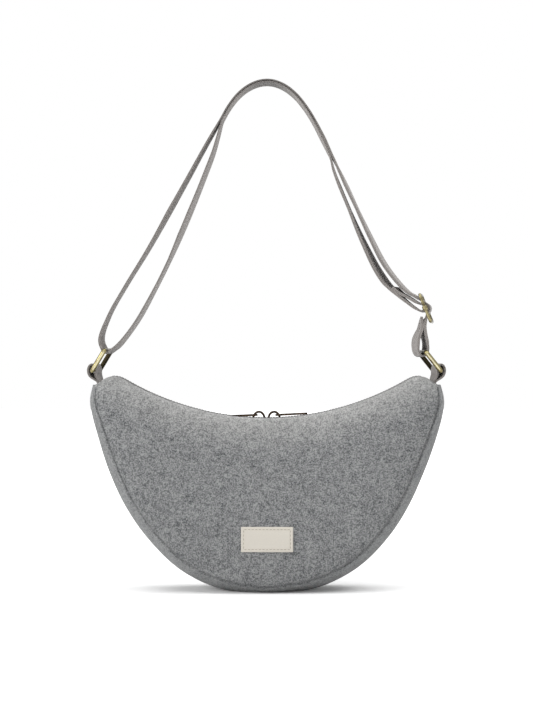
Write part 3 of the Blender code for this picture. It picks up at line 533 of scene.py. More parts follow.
def metal_material(name, bright, tarnished, roughness, cloud, bump, rear_shade=0.0, rim_shade=0.5, painted_shine=0.0):
    """Plated metal. Painted shade darkens its back side and its edges, and a painted highlight may run along
    its middle.
    """
    made, tree, shader = new_material(name, roughness, 1.0)
    place = object_place(tree)
    mask = add_group(tree, TARNISH, Vector=place, Cloud_Scale=cloud)
    view = node(tree, "ShaderNodeLayerWeight")
    view.inputs["Blend"].default_value = 0.5
    turned_away = view.outputs["Facing"]
    tone = colour_mix(tree, mask.outputs["Tarnish"], bright, tarnished)
    if painted_shine:
        # Painted reflection: a bright line where the faces look at the viewer.
        tone = colour_mix(tree, remap(tree, turned_away, 0.01, 0.10, painted_shine, 0.0), tone, PAINTED_SHINE)
    # Painted shade on the back of the piece.
    shade_behind = remap(tree, part_of(tree, place, 1), REAR_SHADE_FROM, REAR_SHADE_FULL, 0.0, rear_shade)
    tone = colour_mix(tree, shade_behind, tone, darker(tarnished, 0.12))
    # Painted shade darkens the faces that turn away.
    edge = remap(tree, turned_away, EDGE_FROM, EDGE_FULL, 0.0, rim_shade)
    put(tree, shader.inputs["Base Color"], colour_mix(tree, edge, tone, darker(tarnished, 0.4)))
    rough = remap(tree, mask.outputs["Tarnish"], 0.0, 1.0, roughness, roughness + 0.22)
    put(tree, shader.inputs["Roughness"], rough)
    add_bump(tree, shader, mask.outputs["Height"], bump, 0.00015)
    return made


BRASS_FINISH = metal_material(
    "old_brass", (0.30, 0.265, 0.125, 1), (0.13, 0.10, 0.048, 1), 0.22, 160.0, 0.2,
    rear_shade=0.97, rim_shade=0.9, painted_shine=0.62,
)
ADJUSTER_FINISH = metal_material(
    "handled_brass", (0.30, 0.265, 0.145, 1), (0.10, 0.083, 0.046, 1), 0.26, 220.0, 0.25, rear_shade=0.5, rim_shade=0.8
)
BRONZE_FINISH = metal_material(
    "dark_bronze", (0.070, 0.048, 0.032, 1), (0.030, 0.021, 0.016, 1), 0.34, 260.0, 0.2
)
TEETH_FINISH = metal_material(
    "bronze_teeth", (0.10, 0.072, 0.05, 1), (0.04, 0.03, 0.022, 1), 0.36, 500.0, 0.1
)
print("metals:", BRASS_FINISH.name, ADJUSTER_FINISH.name, BRONZE_FINISH.name, TEETH_FINISH.name)

# %% [markdown]
# ### Thread
#
# Sewing thread is a few fine strands twisted together. At this size the twist can't be seen, so the
# fibre mottle at a very fine scale stands for it.

# %% Thread materials
def thread_material(name, dark, pale):
    made, tree, shader = new_material(name, 0.6)
    fibres = add_group(tree, FIBRES, Vector=object_place(tree), Fibre_Scale=2600.0, Drift_Scale=400.0)
    put(tree, shader.inputs["Base Color"], colour_mix(tree, fibres.outputs["Mottle"], dark, pale))
    shader.inputs["Sheen Weight"].default_value = 0.2
    add_bump(tree, shader, fibres.outputs["Height"], 0.4, 0.0001)
    return made


GREY_THREAD = thread_material("grey_thread", (0.16, 0.16, 0.165, 1), (0.34, 0.34, 0.345, 1))
TAUPE_THREAD = thread_material("taupe_thread", (0.15, 0.135, 0.125, 1), (0.34, 0.31, 0.29, 1))
CORD_FINISH = thread_material("tape_cord", (0.10, 0.10, 0.105, 1), (0.24, 0.24, 0.25, 1))
LABEL_THREAD = thread_material("label_thread", (0.34, 0.285, 0.22, 1), (0.50, 0.43, 0.34, 1))
print("materials:", len(bpy.data.materials))

# %% [markdown]
# ## Lines and cloth
#
# Every cloth piece starts as a grid of points on a smooth surface. Working in whole grids with numpy
# is quick, and each grid also gets a flat map, in metres, from its own lengths, which the weave reads.

# %% Line helpers
def smooth_line(points, per_span=10):
    """A smooth curve through the points. The spacing of its steps follows the root of each chord."""
    points = np.asarray(points, float)
    nodes = np.vstack([2 * points[0] - points[1], points, 2 * points[-1] - points[-2]])
    line = []
    for a, b, c, d in zip(nodes, nodes[1:], nodes[2:], nodes[3:]):
        t1 = math.sqrt(np.linalg.norm(b - a))
        t2 = t1 + math.sqrt(np.linalg.norm(c - b))
        t3 = t2 + math.sqrt(np.linalg.norm(d - c))
        for step in range(per_span):
            t = t1 + (t2 - t1) * step / per_span
            ab = a + (b - a) * t / t1
            bc = b + (c - b) * (t - t1) / (t2 - t1)
            cd = c + (d - c) * (t - t2) / (t3 - t2)
            left = ab + (bc - ab) * t / t2
            right = bc + (cd - bc) * (t - t1) / (t3 - t1)
            line.append(left + (right - left) * (t - t1) / (t2 - t1))
    line.append(points[-1])
    return np.array(line)


def lengths_along(line):
    steps = np.linalg.norm(np.diff(line, axis=0), axis=1)
    return np.concatenate([[0.0], np.cumsum(steps)])


def at_length(line, wanted):
    """Points at these lengths along a line."""
    run = lengths_along(line)
    return np.stack([np.interp(wanted, run, line[:, axis]) for axis in range(line.shape[1])], axis=-1)


def ease(value):
    value = np.clip(value, 0.0, 1.0)
    return value * value * (3 - 2 * value)


def mix(a, b, share):
    return a + (b - a) * share


print("steps on a line through three points:", len(smooth_line([(0, 0), (1, 1), (2, 0)])) - 1)

# %% [markdown]
# Three measures are taken from a grid: which way it faces, how long its rows and columns are, and,
# written to the mesh as a map layer, what a material has to know at each of its points.

# %% Grid helpers
def grid_normals(points):
    down = np.gradient(points, axis=0)
    along = np.gradient(points, axis=1)
    normals = np.cross(down, along)
    size = np.linalg.norm(normals, axis=2, keepdims=True)
    return normals / np.maximum(size, 1e-12)


def put_map(mesh, name, values):
    """A map layer from one pair of numbers for each vertex."""
    layer = mesh.uv_layers.new(name=name)
    index = np.empty(len(mesh.loops), np.int32)
    mesh.loops.foreach_get("vertex_index", index)
    layer.data.foreach_set("uv", np.asarray(values, np.float32).reshape(-1, 2)[index].ravel())


def length_over(points, axis):
    """The length run so far over a grid of points, along one of its axes."""
    steps = np.linalg.norm(np.diff(points, axis=axis), axis=2).cumsum(axis=axis)
    return np.insert(steps, 0, 0.0, axis=axis)


flat_square = np.stack(np.meshgrid([0.0, 1.0], [0.0, 1.0]), axis=-1)
print("a unit square measures", length_over(flat_square, 0)[-1, 0], "by", length_over(flat_square, 1)[0, -1])

# %% [markdown]
# A cloth piece is drawn as its outer face only. A solidify modifier gives it the cloth's thickness
# and a bevel softens its cut edge, so that a change of size never leaves the two faces apart.

# %% Cloth helpers
SHARP_ANGLE = 55


def cloth(
    name, points, finish, thickness, replaces=(), flip=False, edge=0.0, offset=-1.0, seam_map=None
):
    """A closed piece of the bag from a grid of points on its outer face, with a flat map in metres."""
    rows, columns = points.shape[:2]
    corner = np.arange(rows * columns).reshape(rows, columns)
    corners = (corner[:-1, :-1], corner[:-1, 1:], corner[1:, 1:], corner[1:, :-1])
    quads = np.stack(corners, axis=-1).reshape(-1, 4)
    if flip:
        quads = quads[:, ::-1]
    obj = mesh_object(name, points, quads.tolist())
    along = length_over(points, 1)
    flat = np.stack([along - along[:, -1:] / 2, length_over(points, 0)], axis=-1)
    put_map(obj.data, "flat", flat)
    if seam_map is not None:
        put_map(obj.data, "seam", seam_map)
    solid = obj.modifiers.new("thickness", "SOLIDIFY")
    solid.thickness = thickness
    solid.offset = offset
    solid.use_quality_normals = True
    if edge:
        bevel = obj.modifiers.new("soft_edge", "BEVEL")
        bevel.width = edge
        bevel.segments = 2
        bevel.limit_method = "ANGLE"
        bevel.angle_limit = math.radians(SHARP_ANGLE)
    return dress(obj, finish, "bag", replaces)


def dress(obj, finish, body, replaces=()):
    """Gives a piece its finish, smooth faces and body, and hides the nodes it stands for."""
    obj.data.materials.clear()
    obj.data.materials.append(finish)
    obj.data.shade_smooth()
    obj.data.set_sharp_from_angle(angle=math.radians(SHARP_ANGLE))
    if body:
        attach(obj, body)
    if replaces:
        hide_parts(*replaces)
    return obj


print("edges sharper than", SHARP_ANGLE, "degrees stay sharp")

# %% [markdown]
# Webbing, wires, teeth and threads are all drawn as rings of points that are joined, ring to ring.
# Blender's own curve bevel could draw a wire, but not the webbing's grooved section.

# %% Skin helpers
def ring_faces(base, count, sides, closed=False):
    """Faces that join a stack of point rings, with end caps unless it is closed."""
    faces = []
    for ring in range(count if closed else count - 1):
        low = base + ring * sides
        high = base + (ring + 1) % count * sides
        for side in range(sides):
            beside = (side + 1) % sides
            faces.append((low + side, low + beside, high + beside, high + side))
    if not closed:
        faces.append(tuple(range(base + sides - 1, base - 1, -1)))
        top = base + (count - 1) * sides
        faces.append(tuple(range(top, top + sides)))
    return faces


def swept(name, rings, closed=False):
    """A mesh object skinned over a list of point rings."""
    rings = np.asarray(rings, float)
    count, sides = rings.shape[:2]
    return mesh_object(name, rings, ring_faces(0, count, sides, closed))


def outward(obj):
    """Turns the faces of a closed mesh outwards."""
    bm = bmesh.new()
    bm.from_mesh(obj.data)
    bmesh.ops.recalc_face_normals(bm, faces=bm.faces)
    bm.to_mesh(obj.data)
    bm.free()
    return obj


def joined(name, parts):
    """One object from several mesh objects."""
    bm = bmesh.new()
    for part in parts:
        bm.from_mesh(part.data)
        bpy.data.objects.remove(part, do_unlink=True)
    obj = mesh_object(name, [], [])
    bm.to_mesh(obj.data)
    bm.free()
    return obj


print("faces of a square rod:", len(ring_faces(0, 2, 4)))

# %% [markdown]
# ## The felt body
#
# Two lines set the body: the concave arc of the zip at the top, and the crescent seam between panel
# and gusset. The seam could be made of arcs, but its sides are fuller than an arc. So it runs through
# points, each a share of its half width and of its rise, and keeps its form at every size.

# %% Seam line
SEAM_HALF_WIDTH = 0.1705
SEAM_BOTTOM_HEIGHT = 0.0061
SEAM_RISE = 0.1979
SLUMPS = ((-1, 0.0019, 0.10, 0.165, 0.035), (1, 0.0024, 0.09, 0.045, 0.045))
SEAM_SHARES = np.array([
    (0.000, 0.000), (0.158, 0.017), (0.317, 0.054), (0.487, 0.137), (0.651, 0.280), (0.765, 0.421),
    (0.858, 0.581), (0.935, 0.742), (0.985, 0.864), (1.000, 0.925), (0.991, 1.000),
])

half_seam = SEAM_SHARES * (SEAM_HALF_WIDTH, SEAM_RISE) + (0, SEAM_BOTTOM_HEIGHT)
SEAM = smooth_line(np.vstack([half_seam[:0:-1] * (-1, 1), half_seam]))
SEAM_LENGTH = lengths_along(SEAM)[-1]


def slump(place):
    """The bag leans a little: the upper left side sinks in, and the lower right side swells."""
    x, z = place[..., 0], place[..., 1]
    moved = x
    for side, amount, reach, height, spread in SLUMPS:
        moved = moved + amount * ease(side * x / reach) * np.exp(-(((z - height) / spread) ** 2))
    return np.stack([moved, z], axis=-1)


def seam_at(share):
    return slump(at_length(SEAM, (np.asarray(share) + 1) / 2 * SEAM_LENGTH))


def seam_outward(share, step=0.0104):
    along = seam_at(np.minimum(1.0, share + step)) - seam_at(np.maximum(-1.0, share - step))
    along /= np.linalg.norm(along, axis=-1, keepdims=True)
    return np.stack([along[..., 1], -along[..., 0]], axis=-1)


print("seam length:", round(SEAM_LENGTH, 4), "m")

# %% [markdown]
# The top edge follows the zip's arc and drops in a round corner at each tip. Between the two felt
# lips a slot is left open for the zip. It closes towards the tips, as the two lips meet there.

# %% Top edge
ZIP_ARC_RADIUS = 0.280
ARC_CENTRE_HEIGHT = 0.1715 + ZIP_ARC_RADIUS
TIP_REACH = 0.1615
TIP_ROUND_FROM = 0.140
TIP_ROUND_DROP = 0.0125
TIP_ROUND_POWER = 2.3
SLOT_HALF_WIDTH = 0.0068
SLOT_TIP_HALF_WIDTH = 0.0006
SLOT_NARROWS_FROM = 0.150


def top_height(x):
    arc = ARC_CENTRE_HEIGHT - np.sqrt(ZIP_ARC_RADIUS**2 - x * x)
    past = np.maximum(0.0, (np.abs(x) - TIP_ROUND_FROM) / (TIP_REACH - TIP_ROUND_FROM))
    return arc - TIP_ROUND_DROP * past**TIP_ROUND_POWER


def slot_half_width(x):
    past = ease((np.abs(x) - SLOT_NARROWS_FROM) / (TIP_REACH - SLOT_NARROWS_FROM))
    return mix(SLOT_HALF_WIDTH, SLOT_TIP_HALF_WIDTH, past)


print("top edge at the middle and the tip:", np.round(top_height(np.array([0.0, TIP_REACH])), 4), "m high")

# %% [markdown]
# A panel is lofted between these two lines. A straight loft would make a flat side, but a filled
# felt bag is domed, so the loft is a curve with four weights: lip, shoulder, swell and seam.

# %% Front face
MIDDLE_HALF_DEPTH = 0.0390
TIP_HALF_DEPTH = 0.0210
DEPTH_TAPER_POWER = 2.6
CROWN_SWELL = 0.0115
SHOULDER_REACH = 0.0100
CROWN_TURN_SHARE = 0.5
LIP_WIDTH = 0.0080


def half_depth(share):
    return mix(MIDDLE_HALF_DEPTH, TIP_HALF_DEPTH, np.abs(share) ** DEPTH_TAPER_POWER)


def front_face(share, crown, lip=1.0):
    """Points on the front panel: share runs along it, crown from the lip down to the seam."""
    share, crown, lip = np.broadcast_arrays(np.asarray(share, float), crown, lip)
    x = share * TIP_REACH
    top = np.stack([x, top_height(x)], axis=-1)
    low = seam_at(share)
    slot = slot_half_width(x)
    lip_edge = slot + LIP_WIDTH
    depth = half_depth(share)
    swell = depth + CROWN_SWELL * (1 - np.abs(share) ** 3)
    shoulder = np.minimum(lip_edge + SHOULDER_REACH, depth)
    rest = 1 - crown
    weights = (rest**3, 3 * rest * rest * crown, 3 * rest * crown * crown, crown**3)
    out = weights[0] * lip_edge + weights[1] * shoulder + weights[2] * swell + weights[3] * depth
    out = np.where(lip < 1.0, mix(slot, lip_edge, lip), out)
    down = (weights[2] * CROWN_TURN_SHARE + weights[3])[..., None]
    place = mix(top, low, np.where(lip[..., None] < 1.0, 0.0, down))
    return np.stack([place[..., 0], -out, place[..., 1]], axis=-1)


print("lip:", front_face(0.0, 0.0).round(4), "seam:", front_face(0.0, 1.0).round(4))

# %% [markdown]
# Near the seam the felt rolls in, because a sewn and turned edge is never sharp, and the two rolls
# meet in a groove, which painted shade darkens further. Real felt also has slack in it. Long shallow
# waves, well under a millimetre deep, keep the light from sliding over the panel as over a moulded
# shell. They fade to nothing at the lip, at the seam and at the tips.

# %% Felt panels
FELT = 0.0026
PANEL_COLUMNS = 168
LIP_ROWS = 5
CROWN_ROWS = 60
SEAM_ROLL = 0.0024
WAVE_DEPTH = 0.0007
WAVES = ((31.0, 0.4, 0.0), (47.0, 1.3, 1.9), (62.0, 2.2, 4.1), (83.0, 0.9, 2.7))
WAVES_FADE = 0.030
WAVES_FADE_ROWS = 26
WAVES_START = 0.2
WAVES_FADE_TIP = 0.16
FELT_EDGE = 0.0007


def felt_waves(x, z, seed):
    """A sum of long waves in four directions."""
    total = 0.0
    for pitch, turn, phase in WAVES:
        run = x * math.cos(turn + seed) + z * math.sin(turn + seed)
        total = total + np.sin(pitch * run * 2 + phase + 3 * seed)
    return total / len(WAVES)


def edge_roll(distance, radius):
    """How far a rolled edge has turned in, by the distance from it."""
    left = 1 - np.clip(distance / radius, 0.0, 1.0)
    return radius * (1 - np.sqrt(1 - left * left))


def felt_panel(end, side, seed):
    share = np.linspace(-1, 1, PANEL_COLUMNS + 1)[None, :]
    lips = front_face(share, 0.0, np.linspace(0, 1, LIP_ROWS, endpoint=False)[:, None])
    crown = front_face(share, np.linspace(0, 1, CROWN_ROWS + 1)[:, None])
    points = np.concatenate([lips, crown], axis=0)
    normals = grid_normals(points)
    from_seam = length_over(points[::-1], 0)[::-1]
    rows = np.arange(points.shape[0])[:, None]
    fade = ease(from_seam / WAVES_FADE) * ease(rows / WAVES_FADE_ROWS - WAVES_START)
    fade = fade * ease((1 - np.abs(share)) / WAVES_FADE_TIP)
    wave = felt_waves(points[..., 0], points[..., 2], seed) * WAVE_DEPTH * fade
    outwards = np.sign(-normals[..., 1:2].mean())
    points = points + outwards * normals * (wave - edge_roll(from_seam, SEAM_ROLL))[..., None]
    points[..., 1] *= side
    from_lip = np.maximum(from_seam[LIP_ROWS] - from_seam, 0.0)
    # The two distances place the painted seam shade and the painted light near the lip.
    return cloth(
        f"felt_{end}", points, FELT_FINISH, FELT, [f"{end}_panel"],
        flip=side > 0, edge=FELT_EDGE, seam_map=np.stack([from_seam, from_lip], axis=-1),
    )


FELT_FRONT = felt_panel("front", 1, 0.0)
FELT_BACK = felt_panel("back", -1, 0.7)
print("felt panels:", FELT_FRONT.name, FELT_BACK.name)

# %% [markdown]
# ### Gusset
#
# The gusset is one strip, as long as the seam. It bows outwards between its two seams, and lies flat
# where the bag stands on it. A flat strip bent round the seam would do for stiff leather, but felt
# is pushed out by what it holds, so the bow is part of the shape.

# %% Gusset
SEW_GAP = 0.0003
GUSSET_BULGE = 0.0125
GUSSET_TIP_BULGE = 0.0050
GUSSET_BULGE_POWER = 6
GUSSET_COLUMNS = 220
GUSSET_ROWS = 34
INSIDE_GUSSET = (0, 0, 0.15)


def gusset_face(share, across):
    share, across = np.broadcast_arrays(np.clip(share, -1.0, 1.0), across)
    bulge = mix(GUSSET_BULGE, GUSSET_TIP_BULGE, np.abs(share) ** GUSSET_BULGE_POWER)
    place = seam_at(share) + seam_outward(share) * (bulge * (1 - across * across))[..., None]
    y = across * (half_depth(share) - FELT - SEW_GAP)
    return np.stack([place[..., 0], y, np.maximum(0.0, place[..., 1])], axis=-1)


def felt_gusset():
    share = np.linspace(-1, 1, GUSSET_COLUMNS + 1)[None, :]
    across = np.linspace(-1, 1, GUSSET_ROWS + 1)[:, None]
    points = gusset_face(share, across)
    normals = grid_normals(points)
    run = length_over(points, 0)
    from_edge = np.minimum(run, run[-1:] - run)
    row, column = GUSSET_ROWS // 2, GUSSET_COLUMNS // 4
    outwards = np.sign(normals[row, column] @ (points[row, column] - INSIDE_GUSSET))
    points = points - outwards * normals * edge_roll(from_edge, SEAM_ROLL)[..., None]
    points[..., 2] = np.maximum(points[..., 2], 0.0)
    # The gusset gets painted shade beside both seams and none of the lip's painted light.
    far_from_lip = np.full_like(from_edge, 1.0)
    return cloth(
        "felt_gusset", points, FELT_FINISH, FELT, ["gusset"],
        flip=True, edge=FELT_EDGE, seam_map=np.stack([from_edge, far_from_lip], axis=-1),
    )


FELT_GUSSET = felt_gusset()
print("gusset points:", len(FELT_GUSSET.data.vertices))

# %% [markdown]
# At each tip the gusset is turned in over the end of the zip, and the anchor webbing comes up through
# it. A short cover of felt spans from the front panel's end to the back panel's end.

# %% Tip covers
COVER_ROWS = 12
COVER_COLUMNS = 24
COVER_DIP = 0.0012
COVER_BULGE = 0.8
COVER_FELT = FELT * 0.8
COVER_EDGE = 0.0006
# The covers get none of the painted seam shade and most of the painted light of the lip.
COVER_DISTANCES = (1.0, 0.01)


def tip_cover(end, side):
    crown = np.linspace(0, 1, COVER_ROWS + 1)[:, None]
    across = np.linspace(-1, 1, COVER_COLUMNS + 1)[None, :]
    edge = front_face(np.ones_like(crown), crown)
    bulge = seam_outward(1.0) * GUSSET_TIP_BULGE * COVER_BULGE
    arched = (1 - across**2) * ease(crown)
    x = edge[..., 0] + bulge[0] * arched
    z = edge[..., 2] + bulge[1] * arched - COVER_DIP * (1 - across**4)
    points = np.stack([side * x, -edge[..., 1] * across, z], axis=-1)
    cloth(
        f"felt_tip_{end}", points, FELT_FINISH, COVER_FELT, flip=side > 0, edge=COVER_EDGE,
        seam_map=np.broadcast_to(COVER_DISTANCES, x.shape + (2,)),
    )


tip_cover("left", -1)
tip_cover("right", 1)
print("tip covers:", round(COVER_FELT, 5), "m thick")

# %% [markdown]
# ### Lining
#
# Thin cloth hangs a little slack inside the felt. It shows only when the sliders are run apart, so
# its creases are kept simple: shallow folds that hang down from the zip.

# %% Lining
LINING = 0.0005
LINING_ROOM = 0.0010
LINING_SPAN = 0.90
LINING_COLUMNS = 90
LINING_ROWS = 26
LINING_FROM_LIP = 0.06
LINING_TO_SEAM = 0.94
LINING_ACROSS = 0.84
LINING_CREASE = 0.0004
INSIDE_LINING = (0, 0, 0.12)
CREASES_ALONG = 310
CREASES_DOWN = 60
GUSSET_CREASES = 90


def inside_of(points, depth):
    normals = grid_normals(points)
    inwards = np.sign((normals * (points - INSIDE_LINING)).sum(axis=2).mean())
    return points - inwards * normals * depth[..., None]


def panel_lining(name, side):
    share = np.linspace(-LINING_SPAN, LINING_SPAN, LINING_COLUMNS + 1)[None, :]
    crown = np.linspace(LINING_FROM_LIP, LINING_TO_SEAM, LINING_ROWS + 1)[:, None]
    points = front_face(share, crown)
    sway = 3 * np.sin(points[..., 2] * CREASES_DOWN)
    crease = LINING_CREASE * (1 + np.sin(points[..., 0] * CREASES_ALONG + sway))
    points = inside_of(points, FELT + LINING_ROOM + crease)
    points[..., 1] *= side
    cloth(name, points, LINING_FINISH, LINING, [name], flip=side < 0, offset=0.0)


def gusset_lining():
    share = np.linspace(-LINING_SPAN, LINING_SPAN, LINING_COLUMNS + 1)[None, :]
    across = np.linspace(-LINING_ACROSS, LINING_ACROSS, LINING_ROWS // 2 + 1)[:, None]
    points = gusset_face(share, across)
    crease = LINING_CREASE * (1 + np.sin(share * GUSSET_CREASES + 2 * across))
    points = inside_of(points, FELT + LINING_ROOM + crease)
    cloth("lining_gusset", points, LINING_FINISH, LINING, ["lining_gusset"], offset=0.0)


panel_lining("lining_front", 1)
panel_lining("lining_back", -1)
gusset_lining()
print("lining:", LINING_ROOM, "m inside the felt")

# %% [markdown]
# ## The zip
#
# A zip is two woven tapes, each with a cord along its inner edge. Every tooth is clamped over that
# cord, and its round head locks between the heads of the other side. The zip runs on one arc, so all
# its pieces are placed by how far they lie along it. The two sliders meet at the middle, and their
# mouths hold the chain a little apart there.

# %% Zip lines
TAPE = 0.0007
TAPE_LEVEL = -(FELT + SEW_GAP + TAPE / 2)
TAPE_OUTER_EDGE = 0.0140
TAPE_REACH = 0.1580
TAPE_COLUMNS = 180
TAPE_ROWS = 4
TAPE_CLOSES_PAST = 0.003
TAPE_CLOSES_OVER = 0.006
TAPE_NARROWS_FROM = 0.143
TAPE_NARROWS_OVER = 0.012
TAPE_END_INNER = 0.0002
TAPE_END_OUTER = 0.0100
CHAIN_REACH = 0.1365
TOOTH_PITCH = 0.0021
CORD_OUT = 0.0024
CORD_RADIUS = 0.0008
CHAIN_SPREAD = 0.0015
SPREAD_FULL_TO = 0.0030
SPREAD_ENDS_AT = 0.0120


def chain_spread(run):
    return CHAIN_SPREAD * (1 - ease((np.abs(run) - SPREAD_FULL_TO) / (SPREAD_ENDS_AT - SPREAD_FULL_TO)))


def above_top(x, y, height):
    """Points over the top edge, measured square to it."""
    step = 0.002
    along = np.stack([np.full_like(x, 2 * step), top_height(x + step) - top_height(x - step)], axis=-1)
    along /= np.linalg.norm(along, axis=-1, keepdims=True)
    return np.stack([x - height * along[..., 1], y + 0 * x, top_height(x) + height * along[..., 0]], axis=-1)


def on_arc(run, y, height):
    angle = run / ZIP_ARC_RADIUS
    radius = ZIP_ARC_RADIUS - height
    return np.stack([radius * np.sin(angle), y, ARC_CENTRE_HEIGHT - radius * np.cos(angle)], axis=-1)


def zip_tape(end, side):
    x = np.linspace(-TAPE_REACH, TAPE_REACH, TAPE_COLUMNS + 1)[None, :]
    share = np.linspace(0, 1, TAPE_ROWS + 1)[:, None]
    closed = ease((np.abs(x) - CHAIN_REACH - TAPE_CLOSES_PAST) / TAPE_CLOSES_OVER)
    inner = mix(CORD_OUT + chain_spread(x), TAPE_END_INNER, closed)
    narrowed = ease((np.abs(x) - TAPE_NARROWS_FROM) / TAPE_NARROWS_OVER)
    outer = mix(TAPE_OUTER_EDGE, TAPE_END_OUTER, narrowed)
    points = above_top(x + 0 * share, side * mix(inner, outer, share), TAPE_LEVEL)
    cloth(f"tape_{end}", points, TAPE_FINISH, TAPE, [f"zip_tape_{end}"], flip=side < 0, offset=0.0)


zip_tape("front", -1)
zip_tape("back", 1)
print("tape length:", 2 * TAPE_REACH, "m")

# %% [markdown]
# A tooth has two legs, a waist and a head. Its outline is drawn once, as seen from above, and lifted
# through four levels, the outer two drawn in as a moulded edge is. All teeth of one side are one mesh.

# %% Teeth
TOOTH_OUTLINE = (
    (-0.00052, 0.0034), (-0.00052, 0.0017), (-0.00034, 0.0011), (-0.00040, 0.0006), (-0.00052, 0.0001),
    (-0.00046, -0.0006), (-0.00022, -0.0010), (0.00022, -0.0010), (0.00046, -0.0006), (0.00052, 0.0001),
    (0.00040, 0.0006), (0.00034, 0.0011), (0.00052, 0.0017), (0.00052, 0.0034),
)
TOOTH_LEVELS = ((-0.0012, 0.80), (-0.0010, 1.0), (0.0010, 1.0), (0.0012, 0.80))


def zip_teeth(end, side):
    outline = np.array(TOOTH_OUTLINE)
    middle = outline.mean(axis=0)
    count = int(2 * CHAIN_REACH / TOOTH_PITCH)
    run = (np.arange(count) + 0.5 - count / 2) * TOOTH_PITCH + side * TOOTH_PITCH / 4
    layers = []
    for high, size in TOOTH_LEVELS:
        layers.append(np.insert(middle + (outline - middle) * size, 2, high, axis=1))
    tooth = np.concatenate(layers)
    along = run[:, None] + tooth[None, :, 0]
    out = side * (tooth[None, :, 1] + chain_spread(run)[:, None])
    points = on_arc(along, out, TAPE_LEVEL + tooth[None, :, 2] + 0 * along)
    faces = []
    for base in range(0, count * len(tooth), len(tooth)):
        faces += ring_faces(base, len(TOOTH_LEVELS), len(outline))
    teeth = outward(mesh_object(f"teeth_{end}", points, faces))
    dress(teeth, TEETH_FINISH, "bag", [f"zip_teeth_{end}"])
    return count


print("teeth on each side:", zip_teeth("front", -1), zip_teeth("back", 1))

# %% [markdown]
# The cord in each tape's edge is round, and so are the rings and the adjuster further on. One
# function draws a round wire along any path, with a radius that may change on the way.

# %% Wires and tape cords
def wire(name, path, radius, sides=16, closed=False, across=(1, 0, 0)):
    """A round wire along a path that lies in one plane, or nearly. Radius may vary along it."""
    path = np.asarray(path, float)
    if closed:
        along = np.roll(path, -1, axis=0) - np.roll(path, 1, axis=0)
    else:
        along = np.gradient(path, axis=0)
    along /= np.linalg.norm(along, axis=1, keepdims=True)
    first = np.cross(along, np.asarray(across, float))
    first /= np.linalg.norm(first, axis=1, keepdims=True)
    second = np.cross(along, first)
    radius = np.broadcast_to(radius, len(path))[:, None, None]
    angle = np.linspace(0, 2 * math.pi, sides, endpoint=False)[None, :, None]
    rings = path[:, None] + radius * (np.cos(angle) * first[:, None] + np.sin(angle) * second[:, None])
    return swept(name, rings, closed)


def tape_cord(end, side):
    run = np.linspace(-CHAIN_REACH, CHAIN_REACH, 161)
    path = on_arc(run, side * (CORD_OUT + chain_spread(run)), np.full_like(run, TAPE_LEVEL))
    cord = outward(wire(f"tape_cord_{end}", path, CORD_RADIUS, 10, across=(0, 1, 0)))
    dress(cord, CORD_FINISH, "bag")


tape_cord("front", -1)
tape_cord("back", 1)
print("cord radius:", CORD_RADIUS, "m")

# %% [markdown]
# ## Webbing
#
# The strap is one long strip, 30 mm wide. It is sewn round the adjuster's bar, runs over the arch to
# the left ring, back over itself, through the adjuster, and down round the right ring, where its end
# is sewn. Its centre line is drawn in the plane of the bag's front, through points that are shares
# of the strap's own reach and rise, so that it grows and shrinks with the bag.

# %% Strap sizes
WEB = 0.0015
WEB_WIDTH = 0.030
WEB_GAP = 0.0003
FOLD_GAP = 0.0006
STACK_GAP = 0.0005
RING_WIRE = 0.0038
RING_PITCH = 0.0248
RING_AXIS_REACH = 0.1712
RING_AXIS_HEIGHT = 0.2179
RING_LEAN = {-1: 31.4, 1: 38.8}
STRAP_RISE = 0.2890
ADJUSTER_REACH = 0.15951
ADJUSTER_HEIGHT = 0.28079
ADJUSTER_LEAN = 22.0
ADJUSTER_YAW = 8.0
ADJUSTER_PITCH = 0.0135
ADJUSTER_WIRE = 0.0032
ADJUSTER_BAR = 0.0026
TURN_RADIUS = RING_WIRE / 2 + WEB_GAP + WEB / 2
FOLD_RADIUS = ADJUSTER_BAR / 2 + FOLD_GAP + WEB / 2
OVER_FOLD_RADIUS = FOLD_RADIUS + WEB + WEB_GAP
print("the webbing turns on a radius of", round(TURN_RADIUS * 1000, 2), "mm in each ring")

# %% [markdown]
# Webbing is stiff across its width, so it turns as a whole. Each ring hangs a few degrees round from
# square, and the strand above it turns back slowly. A turn by height about an upright line through
# the ring gives that, with one small table for each strand: height over the ring, and degrees.

# %% Strap turn
RING_YAW = 6.5
YAW_LOWER_RUN = 0.0100
YAW_RIGHT_RUN = 0.0230
YAW_FREE_RUN = 0.0480
LEFT_OUTER_YAW = (
    (0.0, 6.5), (0.006, 5.0), (0.014, 3.0), (0.026, 1.2), (0.046, 0.0), (0.080, 0.5), (0.110, 2.0),
    (0.134, 4.0), (0.160, 2.8), (0.200, 1.0), (0.225, 0.0),
)
LEFT_INNER_YAW = (
    (0.0, 6.5), (0.006, 4.5), (0.014, 3.4), (0.038, 3.0), (0.062, 1.2), (0.086, 1.6), (0.110, 5.0),
    (0.134, 5.3), (0.160, 4.0), (0.182, 3.6), (0.206, 2.0), (0.230, 0.0),
)


def ring_upper(side):
    """The middle of a ring's upper wire: its reach and its height."""
    lean = math.radians(RING_LEAN[side])
    reach = side * (RING_AXIS_REACH - RING_PITCH * math.sin(lean))
    return np.array([reach, RING_AXIS_HEIGHT + RING_PITCH * math.cos(lean)])


